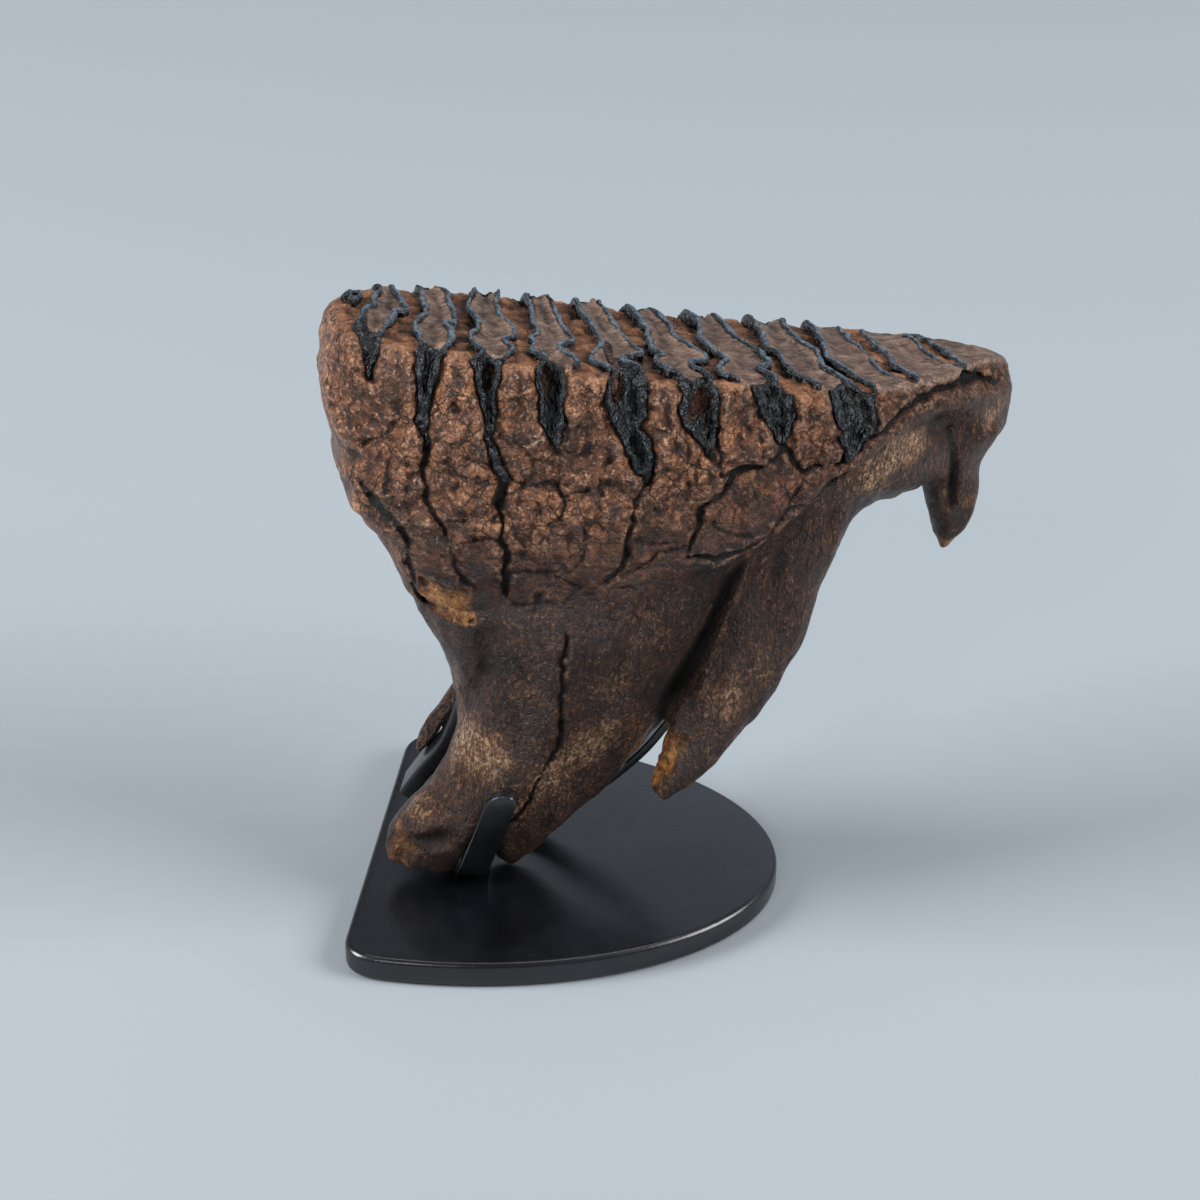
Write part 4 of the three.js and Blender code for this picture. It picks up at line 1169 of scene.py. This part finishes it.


# %% Cracks, wear, painted shade and painted highlights
def cracks_wear_and_painted_light(tree, base, height, neck, place, skin, grains):
    """Painted shade in grooves and hollows, pale ridges (painted highlight and wear), black in the cracks."""
    # Painted highlight with some edge wear: ridges are made paler.
    edges = mask(tree, (skin["fine_bend"], 0.08, 0.35), (grains["grit"], 0.44, 0.6),
                 (neck, 0.0, 1.0, 1.0, 0.3))
    base = tint(tree, edges, 0.45, base, "c39a7c")
    # Painted shade: fine grooves and wide hollows are made darker.
    base = tint(tree, mask(tree, (skin["fine_bend"], -0.02, -0.25)), 0.7, base, "20140d")
    base = tint(tree, mask(tree, (skin["wide_bend"], -0.15, -1.2)), 0.75, base, "160e0a")
    jag = add(tree, "TexNoise", {"Vector": place, "Scale": 1 / 1.5, "Detail": 4, "Roughness": 0.75})
    crack = mask(tree, (weigh(tree, (skin["crack_gap"], 1.0), (jag, 2.6)), 1.34, 1.54, 1.0, 0.0))
    joint = mask(tree, (weigh(tree, (skin["joint_gap"], 1.0), (jag, 1.8)), 0.88, 1.06, 1.0, 0.0))
    base = tint(tree, joint, 0.7, base, "1a100b")
    base = tint(tree, crack, 0.95, base, "090604")
    return base, weigh(tree, (height, 1.0), (joint, -0.8), (crack, -1.2))


# %% [markdown]
# ## Three finishes for the tooth
# Cement, root and enamel could each be a picture on an unwrapped mesh. Here they are patterns on
# the places and numbers stored on the vertices, so that nothing stretches, and painted shade, painted
# highlights, wear and cracks fall exactly where the relief has its grooves, ridges and crack lines.


# %% Cement and dentine of the crown
# Cement is a bone-like crust, orange-brown from iron and cracked as it dried. Dentine inside each
# plate is greyer, and chewing has polished it, with fine scratches across the plates.
def crown_finish():
    material, tree = new_finish("crown_cement_and_dentine")
    place, skin, grains = start_tooth(tree, ("top", "dentine", "opening_gap"))
    side, height, neck = hard_skin(tree, place, skin, grains)
    mixed = weigh(tree, (grains["patch"], 0.6), (grains["grit"], 0.4))
    cement = add(tree, "ValToRGB", {"Fac": mixed}, stops=[
        (0.36, "3c2212"), (0.45, "6f4526"), (0.53, "98613d"), (0.66, "cb966e")])
    scratched = add(tree, "VectorMath", {0: place, 1: (0.35, 2.0, 1.0)}, operation="MULTIPLY")
    lines = add(tree, "TexNoise", {"Vector": scratched, "Scale": 1 / 1.3, "Detail": 5, "Roughness": 0.65,
                                   "Distortion": 0.4})
    mixed = weigh(tree, (grains["patch"], 0.45), (lines, 0.55))
    dentine_colour = add(tree, "ValToRGB", {"Fac": mixed}, stops=[
        (0.36, "2a1d16"), (0.45, "503c30"), (0.53, "70594c"), (0.61, "937969"), (0.72, "c4aa98")])
    ground = add(tree, "Mix", {0: skin["dentine"], 6: cement, 7: dentine_colour}, out=2, data_type="RGBA")
    base = add(tree, "Mix", {0: skin["top"], 6: side, 7: ground}, out=2, data_type="RGBA")
    base, height = cracks_wear_and_painted_light(tree, base, height, neck, place, skin, grains)
    # Painted shade on the cement round and inside the openings, kept off the chewing surface.
    painted_opening_shade = mask(tree, (skin["opening_gap"], 0.7, 0.1), (skin["top"], 0.0, 1.0, 1.0, 0.0))
    base = tint(tree, painted_opening_shade, 0.85, base, "120c09")
    polished = weigh(tree, (skin["top"], skin["dentine"]))
    height = weigh(tree, (height, mask(tree, (polished, 0.0, 1.0, 1.0, 0.35))),
                   (weigh(tree, (lines, polished)), 0.5))
    rough = weigh(tree, (mask(tree, (grains["grit"], 0.3, 0.7, 0.48, 0.24)), 1.0), (polished, -0.05))
    return close_finish(material, tree, {"Base Color": base, "Roughness": rough,
                                         "Specular IOR Level": TOOTH_GLOSS}, height, BUMP_MM)


# %% Roots
# Root dentine is dense and dark brown, smoother than cement, with a fibrous grain along the root
# that catches the light, with painted highlight in short pale streaks. Its high spots are rubbed pale.
def roots_finish():
    material, tree = new_finish("root_dentine")
    place, skin, grains = start_tooth(tree)
    base, height, neck = hard_skin(tree, place, skin, grains)
    base, height = cracks_wear_and_painted_light(tree, base, height, neck, place, skin, grains)
    rough = mask(tree, (grains["grit"], 0.3, 0.7, 0.44, 0.26))
    return close_finish(material, tree, {"Base Color": base, "Roughness": rough,
                                         "Specular IOR Level": TOOTH_GLOSS}, height, BUMP_MM)


# %% Enamel
# Enamel is glassy and stained black. On the crests, chewing has worn it to a duller blue-grey; down
# the openings it is unworn, wrinkled and wet-looking, and it has fallen away over the brown hollows.
def enamel_finish():
    material, tree = new_finish("enamel")
    place = add(tree, "Attribute", out="Vector", attribute_name="place")
    crest, sunk, bend = (add(tree, "Attribute", out="Fac", attribute_name=name)
                         for name in ("crest", "hollow", "fine_bend"))
    patch = add(tree, "TexNoise", {"Vector": place, "Scale": 1 / 2.4, "Detail": 4, "Roughness": 0.65})
    streak = add(tree, "TexNoise", {"Vector": place, "Scale": 1 / 0.6, "Detail": 4, "Roughness": 0.65})
    upright = add(tree, "VectorMath", {0: place, 1: (1.0, 1.0, 0.4)}, operation="MULTIPLY")
    wrinkle = add(tree, "TexNoise", {"Vector": upright, "Scale": 1 / 1.7, "Detail": 1.5, "Roughness": 0.5,
                                     "Distortion": 0.6})
    worn = add(tree, "ValToRGB", {"Fac": weigh(tree, (patch, 0.5), (streak, 0.5))}, stops=[
        (0.36, "171c21"), (0.44, "313a43"), (0.52, "4c5762"), (0.60, "6b7885"), (0.72, "9eabb6")])
    dark = add(tree, "ValToRGB", {"Fac": weigh(tree, (patch, 0.6), (wrinkle, 0.4))}, stops=[
        (0.36, "020203"), (0.56, "040506"), (0.64, "0c0e11"), (0.71, "2f373f"), (0.78, "7d868d")])
    base = add(tree, "Mix", {0: crest, 6: dark, 7: worn}, out=2, data_type="RGBA")
    pit = add(tree, "ValToRGB", {"Fac": streak}, stops=[(0.35, "2a140b"), (0.52, "5c341f"), (0.68, "9a6a4a")])
    base = add(tree, "Mix", {0: sunk, 6: base, 7: pit}, out=2, data_type="RGBA")
    # Painted shade in the enamel's grooves.
    base = tint(tree, mask(tree, (bend, -0.02, -0.2)), 0.6, base, "050607")
    base = tint(tree, mask(tree, (bend, 0.08, 0.35), (streak, 0.46, 0.62)), 0.3, base, "66727e")
    rough = weigh(tree, (mask(tree, (patch, 0.3, 0.7, 0.1, 0.2)), 1.0), (sunk, 0.2), (crest, 0.16))
    height = weigh(tree, (patch, 0.45), (streak, 0.06), (wrinkle, 1.3))
    height = weigh(tree, (height, mask(tree, (crest, 0.0, 1.0, 1.0, 0.2))))
    gloss = mask(tree, (crest, 0.0, 1.0, 0.42, 0.6))
    return close_finish(material, tree, {"Base Color": base, "Roughness": rough, "Specular IOR Level": gloss},
                        height, 2.2)


# %% [markdown]
# ## One finish for the stand
# A powder coat is one even colour, so it needs no stored numbers. What gives it away is how it
# breaks up a reflection, and that comes from a very shallow bump and a slightly uneven shine.


# %% Black stand
# The stand is steel with a satin black powder coat, baked on. Its fine orange peel, 0.7 mm across,
# softens reflections, and faint smudges vary the shine.
def stand_finish():
    material, tree = new_finish("satin_black_steel")
    place = add(tree, "VectorMath", {0: add(tree, "TexCoord", out="Object"), 1: (1 / MM, 1 / MM, 1 / MM)},
                operation="MULTIPLY")
    peel = add(tree, "TexNoise", {"Vector": place, "Scale": 1 / 0.7, "Detail": 3, "Roughness": 0.5})
    smudge = add(tree, "TexNoise", {"Vector": place, "Scale": 1 / 25, "Detail": 4, "Roughness": 0.6})
    base = add(tree, "ValToRGB", {"Fac": smudge}, stops=[(0.35, "08090d"), (0.65, "101318")])
    rough = mask(tree, (smudge, 0.3, 0.7, 0.22, 0.31))
    return close_finish(material, tree, {"Base Color": base, "Roughness": rough, "Specular IOR Level": 0.72},
                        peel, 0.05)


# %% [markdown]
# ## The stand
# The stand is a D-shaped plate of black steel with three bent strips and a peg on it. The CAD solids
# have the right bends, so the plate and the strips are drawn again here from the same sizes, with
# more steps round each curve and with the small rounded edges that catch the light. One Geometry
# Nodes tree lays every strip along its line.

# %% The base plate's sizes, in mm
PLATE_THICKNESS = 8.0
PLATE_BACK = -60.5
PLATE_HALF_WIDTH = 61.0
PLATE_NOSE_CENTRE = -37.5
PLATE_NOSE = 98.0
PLATE_CORNER = 10.0
PLATE_EDGE = 1.9
NOSE_SHARE = 0.94  # how much of the nose is drawn before its corners begin
NOSE_STEPS, CORNER_STEPS, EDGE_STEPS = 120, 16, 7
print("plate in mm:", round(PLATE_NOSE_CENTRE + PLATE_NOSE - PLATE_BACK, 1), "by", 2 * PLATE_HALF_WIDTH)


# %% The plate's outline
def quarter(start, corner, end, steps):
    """A rounded corner from start to end, bent towards corner."""
    t = np.linspace(0, 1, steps)[:, None]
    return (1 - t) ** 2 * np.array(start) + 2 * t * (1 - t) * np.array(corner) + t ** 2 * np.array(end)


def plate_outline():
    """The D-shaped outline of the base plate, in mm, counter-clockwise from above."""
    to_back = math.acos((PLATE_BACK - PLATE_NOSE_CENTRE) / PLATE_NOSE)
    side = PLATE_HALF_WIDTH * math.sin(to_back)
    angle = np.linspace(-NOSE_SHARE * to_back, NOSE_SHARE * to_back, NOSE_STEPS)
    nose = np.stack([PLATE_NOSE_CENTRE + PLATE_NOSE * np.cos(angle), PLATE_HALF_WIDTH * np.sin(angle)], 1)
    far_corner = quarter(nose[-1], (PLATE_BACK, side), (PLATE_BACK, side - PLATE_CORNER), CORNER_STEPS)[1:]
    near_corner = quarter((PLATE_BACK, PLATE_CORNER - side), (PLATE_BACK, -side), nose[0], CORNER_STEPS)[:-1]
    return np.vstack([nose, far_corner, near_corner])


def inset(outline, by):
    """The outline moved inwards by a distance."""
    along = np.roll(outline, -1, axis=0) - np.roll(outline, 1, axis=0)
    along /= np.linalg.norm(along, axis=1)[:, None]
    return outline + by * np.stack([-along[:, 1], along[:, 0]], 1)


# %% A closed skin through rings
SMOOTH_BELOW = math.radians(50)


def face_out(mesh):
    """Turns every face outwards, and smooths all but the sharp edges."""
    bm = bmesh.new()
    bm.from_mesh(mesh)
    bmesh.ops.remove_doubles(bm, verts=bm.verts, dist=MM / 1000)
    bmesh.ops.recalc_face_normals(bm, faces=bm.faces)
    bm.to_mesh(mesh)
    bm.free()
    mesh.shade_smooth()
    mesh.set_sharp_from_angle(angle=SMOOTH_BELOW)


def rings_mesh(name, rings):
    """A closed skin through rings of points, capped at both ends, all in world mm."""
    bm = bmesh.new()
    rows = [[bm.verts.new(Vector(point) * MM) for point in ring] for ring in rings]
    for low, high in zip(rows, rows[1:]):
        for k in range(len(low)):
            j = (k + 1) % len(low)
            bm.faces.new((low[k], low[j], high[j], high[k]))
    bm.faces.new(rows[0][::-1])
    bm.faces.new(rows[-1])
    mesh = bpy.data.meshes.new(name)
    bm.to_mesh(mesh)
    bm.free()
    face_out(mesh)
    piece = bpy.data.objects.new(name, mesh)
    bpy.context.scene.collection.objects.link(piece)
    return piece


# %% The plate, with a rolled edge
outline = plate_outline()
edge_steps = np.radians(np.linspace(0, 90, EDGE_STEPS))
profile = [(PLATE_EDGE * (1 - math.sin(t)), PLATE_EDGE * (1 - math.cos(t))) for t in edge_steps]
profile += [(x, PLATE_THICKNESS - z) for x, z in profile[::-1]]
plate_rings = [np.column_stack([inset(outline, x), np.full(len(outline), z)]) for x, z in profile]
plate_piece = rings_mesh("stand_base", plate_rings)
print("base plate:", len(plate_piece.data.vertices), "points")

# %% [markdown]
# ## Strips and peg
# A strip is flat bar, bent cold along a smooth line, with its sharp edges broken and its far end
# rounded. Each could be modelled face by face. One Geometry Nodes tree with its sizes as inputs
# makes them all, so that a change of bend or width is a change of one number.

# %% Bent strips and the peg, by their sizes
# Each lies along a line in its own upright plane, which is then turned and set at a place. All are
# in mm and degrees, with the CAD node that each stands for.
STRIP_EDGE = 0.7
STRIPS = {
    "stand_strip_front": dict(node="stand_arm_front", at=(-24.5, 0, 9.6), turn=-90, lean=19, width=9,
                              thick=2.6, line=[(-18, 0), (-2, 0), (14, 0), (21, 3), (26, 16), (30, 37)],
                              tip=4.4),
    "stand_strip_right": dict(node="stand_arm_right", at=(0.8, 14, 0.2), turn=0, lean=0, width=9, thick=2.6,
                              line=[(-21, 9.9), (-11, 14.4), (0, 23.1), (8.6, 29.8), (18.3, 40), (25.3, 50),
                                    (31.6, 60.8), (35, 71)], tip=1.5),
    "stand_strip_left": dict(node="stand_arm_left", at=(0, 15.1, 0), turn=0, lean=0, width=11.6, thick=5,
                             line=[(-51.6, 20.8), (-46, 29.3), (-40, 37.5), (-36.5, 44.8), (-33.7, 53),
                                   (-31.8, 59.5)], tip=1.5),
    "stand_peg": dict(node="stand_post", at=(-38.3, 20.5, 8.3), turn=0, lean=0, width=5, thick=7.8,
                      line=[(0, 0), (0, 33)], tip=0.6),
}
print("strips:", ", ".join(STRIPS))


# %% A smooth line through a few places
def smooth_line(points, stations):
    """Places on a curve through every point (Catmull-Rom), at these shares of its way."""
    points = np.array(points, float)
    padded = np.vstack([points[:1], points, points[-1:]])
    places = []
    for place in stations * (len(points) - 1):
        k = min(int(place), len(points) - 2)
        t = place - k
        a, b, c, d = padded[k:k + 4]
        start, end = (c - a) / 2, (d - b) / 2
        places.append((2 * b - 2 * c + start + end) * t ** 3 + (3 * c - 3 * b - 2 * start - end) * t ** 2
                      + start * t + b)
    return np.array(places)


# %% One Geometry Nodes tree that lays a flat bar along a line
def bar_tree():
    """A bar with rounded edges along a line in the XZ plane, with a rounded far end, in mm."""
    tree = bpy.data.node_groups.new("bar_along_line", "GeometryNodeTree")
    for name, kind in (("Line", "Geometry"), ("Width", "Float"), ("Thickness", "Float"),
                       ("Edge radius", "Float"), ("Tip radius", "Float"), ("Finish", "Material")):
        tree.interface.new_socket(name=name, in_out="INPUT", socket_type="NodeSocket" + kind)
    tree.interface.new_socket(name="Bar", in_out="OUTPUT", socket_type="NodeSocketGeometry")
    given = add(tree, "NodeGroupInput", out=None).outputs
    width, thickness = given["Width"], given["Thickness"]
    edge, tip = given["Edge radius"], given["Tip radius"]

    # The line carries, for each point, its place and how far it is from either end.
    line = add(tree, "GeometryNodeMeshToCurve", {"Mesh": given["Line"]})
    line = add(tree, "GeometryNodeSetCurveNormal", {"Curve": line, "Normal": (0, 1, 0)}, mode="FREE")
    gone = add(tree, "GeometryNodeSplineParameter", out="Length")
    length = add(tree, "GeometryNodeSplineLength", out="Length")
    left = add(tree, "Math", {0: length, 1: gone}, operation="SUBTRACT")
    keep = add(tree, "GeometryNodeCaptureAttribute", out=None)
    tree.links.new(line, keep.inputs["Geometry"])
    for kind, name, value in (("VECTOR", "Centre", add(tree, "GeometryNodeInputPosition")),
                              ("FLOAT", "Left", left), ("FLOAT", "Gone", gone)):
        keep.capture_items.new(kind, name)
        tree.links.new(value, keep.inputs[name])
    centre, left, gone = (keep.outputs[name] for name in ("Centre", "Left", "Gone"))

    section = add(tree, "GeometryNodeCurvePrimitiveQuadrilateral", {"Width": width, "Height": thickness})
    section = add(tree, "GeometryNodeFilletCurve", {"Curve": section, "Radius": edge, "Count": 4},
                  mode="POLY")
    bar = add(tree, "GeometryNodeCurveToMesh", {"Curve": keep.outputs["Geometry"], "Profile Curve": section,
                                                "Fill Caps": True})

    # Near its far end the bar narrows along a circle, and both ends lose a little thickness.
    into_tip = add(tree, "Math", {0: add(tree, "Math", {0: tip, 1: left}, operation="SUBTRACT"), 1: 0.0},
                   operation="MAXIMUM")
    rise = add(tree, "Math", {0: weigh(tree, (tip, tip)), 1: weigh(tree, (into_tip, into_tip))},
               operation="SUBTRACT")
    rise = add(tree, "Math", {0: add(tree, "Math", {0: rise, 1: 0.0}, operation="MAXIMUM")}, operation="SQRT")
    cut = add(tree, "Math", {0: tip, 1: rise}, operation="SUBTRACT")
    cut = add(tree, "Math", {0: cut, 1: weigh(tree, (width, 0.5))}, operation="DIVIDE")
    wide = add(tree, "Math", {0: 1.0, 1: cut}, operation="SUBTRACT")
    to_end = add(tree, "Math", {0: left, 1: gone}, operation="MINIMUM")
    bevel = add(tree, "Math", {0: to_end, 1: 0.2}, operation="ADD")
    bevel = add(tree, "Math", {0: edge, 1: bevel}, operation="MINIMUM")
    thin = add(tree, "Math", {0: edge, 1: bevel}, operation="SUBTRACT")
    thin = add(tree, "Math", {0: thin, 1: thickness}, operation="DIVIDE")
    thick = add(tree, "Math", {0: 1.0, 1: thin}, operation="SUBTRACT")
    share = add(tree, "CombineXYZ", {"X": thick, "Y": wide, "Z": thick})
    here = add(tree, "GeometryNodeInputPosition")
    arm = add(tree, "VectorMath", {0: here, 1: centre}, operation="SUBTRACT")
    place = add(tree, "VectorMath", {0: arm, 1: share, 2: centre}, operation="MULTIPLY_ADD")
    bar = add(tree, "GeometryNodeSetPosition", {"Geometry": bar, "Position": place})

    bar = add(tree, "GeometryNodeRealizeInstances", {"Geometry": bar})
    bar = add(tree, "GeometryNodeSetMaterial", {"Geometry": bar, "Material": given["Finish"]})
    add(tree, "NodeGroupOutput", {"Bar": bar}, out=None)
    lay_out(tree, tree.name)
    return tree


# %% Lay one bar
# Where the line's points are, as shares of its way: even steps, and closer ones round the far end.
LINE_STEPS = 59
NEAR_END = np.array([0.7, 0.45, 0.25, 0.12, 0.04])
LINE_SHARES = np.concatenate([np.arange(LINE_STEPS), LINE_STEPS - NEAR_END]) / LINE_STEPS


def bent_bar(name, tree, finish, at, turn, lean, width, thick, line, tip, **_):
    """Lays a bar along its line, then leans it sideways, turns it and sets it at its place."""
    places = smooth_line(line, LINE_SHARES)
    mesh = bpy.data.meshes.new(name)
    mesh.from_pydata([(x, 0, z) for x, z in places], [(k, k + 1) for k in range(len(places) - 1)], [])
    piece = bpy.data.objects.new(name, mesh)
    bpy.context.scene.collection.objects.link(piece)
    modifier = piece.modifiers.new("bar", "NODES")
    modifier.node_group = tree
    sizes = {"Width": width, "Thickness": thick, "Edge radius": STRIP_EDGE, "Tip radius": tip,
             "Finish": finish}
    for socket in tree.interface.items_tree:
        if socket.name in sizes:
            modifier[socket.identifier] = sizes[socket.name]
    made = piece.evaluated_get(bpy.context.evaluated_depsgraph_get())
    piece.data = bpy.data.meshes.new_from_object(made)
    piece.modifiers.clear()
    lean_over = Matrix.Identity(4)
    lean_over[1][2] = math.tan(math.radians(lean))
    lean_over[1][3] = -width / 2
    piece.data.transform(Matrix.Scale(MM, 4) @ Matrix.Translation(at)
                         @ Matrix.Rotation(math.radians(turn), 4, "Z") @ lean_over)
    face_out(piece.data)
    return piece


# %% Make the strips and the peg
satin_black = stand_finish()
line_tree = bar_tree()
strip_pieces = {name: bent_bar(name, line_tree, satin_black, **sizes) for name, sizes in STRIPS.items()}
for name, piece in strip_pieces.items():
    print(name, len(piece.data.vertices), "points")

# %% [markdown]
# ## Put the finishes on
# Each piece rides on the one body and takes its finish, and the CAD solids that it stands for
# are hidden.

# %% Finishes, bodies and slots
crown_piece.data.materials.append(crown_finish())
roots_piece.data.materials.append(roots_finish())
enamel_piece.data.materials.append(enamel_finish())
plate_piece.data.materials.append(satin_black)
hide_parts("crown")
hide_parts("root_left_lobe", "root_right_lobe", "root_long", "root_end", "root_back")
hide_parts("stand_plate")
for name, facts in STRIPS.items():
    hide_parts(facts["node"])
shown = [crown_piece, roots_piece, enamel_piece, plate_piece, *strip_pieces.values()]
for piece in shown:
    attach(piece, "root")
print("pieces:", ", ".join(piece.name for piece in shown))

# %% [markdown]
# ## Floor, light and camera
# The tooth stands on a pale floor in a light room, with a big soft light on each side. The big
# lights show the form, and a small one in front gives the enamel its hard sparkle.

# %% Floor and world
FLOOR_SIZE = 12
FLOOR_DROP = 0.0002  # keeps the floor's face just under the plate's
bpy.ops.mesh.primitive_plane_add(size=FLOOR_SIZE, location=(0, 0, -FLOOR_DROP))
floor = bpy.context.object
floor.name = "floor"
floor_material, tree = new_finish("pale_floor")
close_finish(floor_material, tree, {"Base Color": colour("9ca4aa"), "Roughness": 0.9,
                                    "Specular IOR Level": 0.1})
floor.data.materials.append(floor_material)

world = bpy.data.worlds.new("room")
bpy.context.scene.world = world
world.use_nodes = True
world.node_tree.nodes["Background"].inputs["Color"].default_value = colour("dfe6ee")
world.node_tree.nodes["Background"].inputs["Strength"].default_value = 0.22

# %% Lights and camera
CAMERA_AT = (0.09146, -0.73657, 0.5230)
CAMERA_AIM = (-0.09804, 0.86046, -0.5)
LENS, SENSOR, NEAREST = 90, 36, 0.01


def soft_light(name, at, aim, size, watts, tone="ffffff"):
    """A rectangle of light that faces its aim. Its size is in metres."""
    light = bpy.data.lights.new(name, "AREA")
    light.shape = "RECTANGLE"
    light.size, light.size_y = size
    light.energy = watts
    light.color = colour(tone)[:3]
    lamp = bpy.data.objects.new(name, light)
    lamp.location = at
    lamp.rotation_euler = (Vector(aim) - Vector(at)).to_track_quat("-Z", "Y").to_euler()
    bpy.context.scene.collection.objects.link(lamp)


soft_light("softbox_left", (-2.3, -0.6, 1.5), (0, 0, 0.1), (1.3, 1.3), 94)
soft_light("softbox_right", (2.4, -0.3, 1.7), (0, 0, 0.1), (1.5, 1.5), 88)
soft_light("small_front_light", (-0.7, -2.3, 1.9), (0, 0, 0.15), (0.4, 0.4), 8)
soft_light("softbox_above", (0.1, 0.4, 2.7), (0, 0, 0.1), (1.8, 0.9), 14)
soft_light("panel_behind", (0.9, 2.8, 1.8), (0, 0, 0.2), (3.4, 1.8), 10, "dcebff")

camera_data = bpy.data.cameras.new("camera")
camera_data.lens = LENS
camera_data.sensor_width = SENSOR
camera_data.clip_start = NEAREST
camera = bpy.data.objects.new("camera", camera_data)
camera.location = CAMERA_AT
camera.rotation_euler = Vector(CAMERA_AIM).to_track_quat("-Z", "Y").to_euler()
bpy.context.scene.collection.objects.link(camera)
bpy.context.scene.camera = camera
bpy.context.scene.view_settings.view_transform = "Standard"
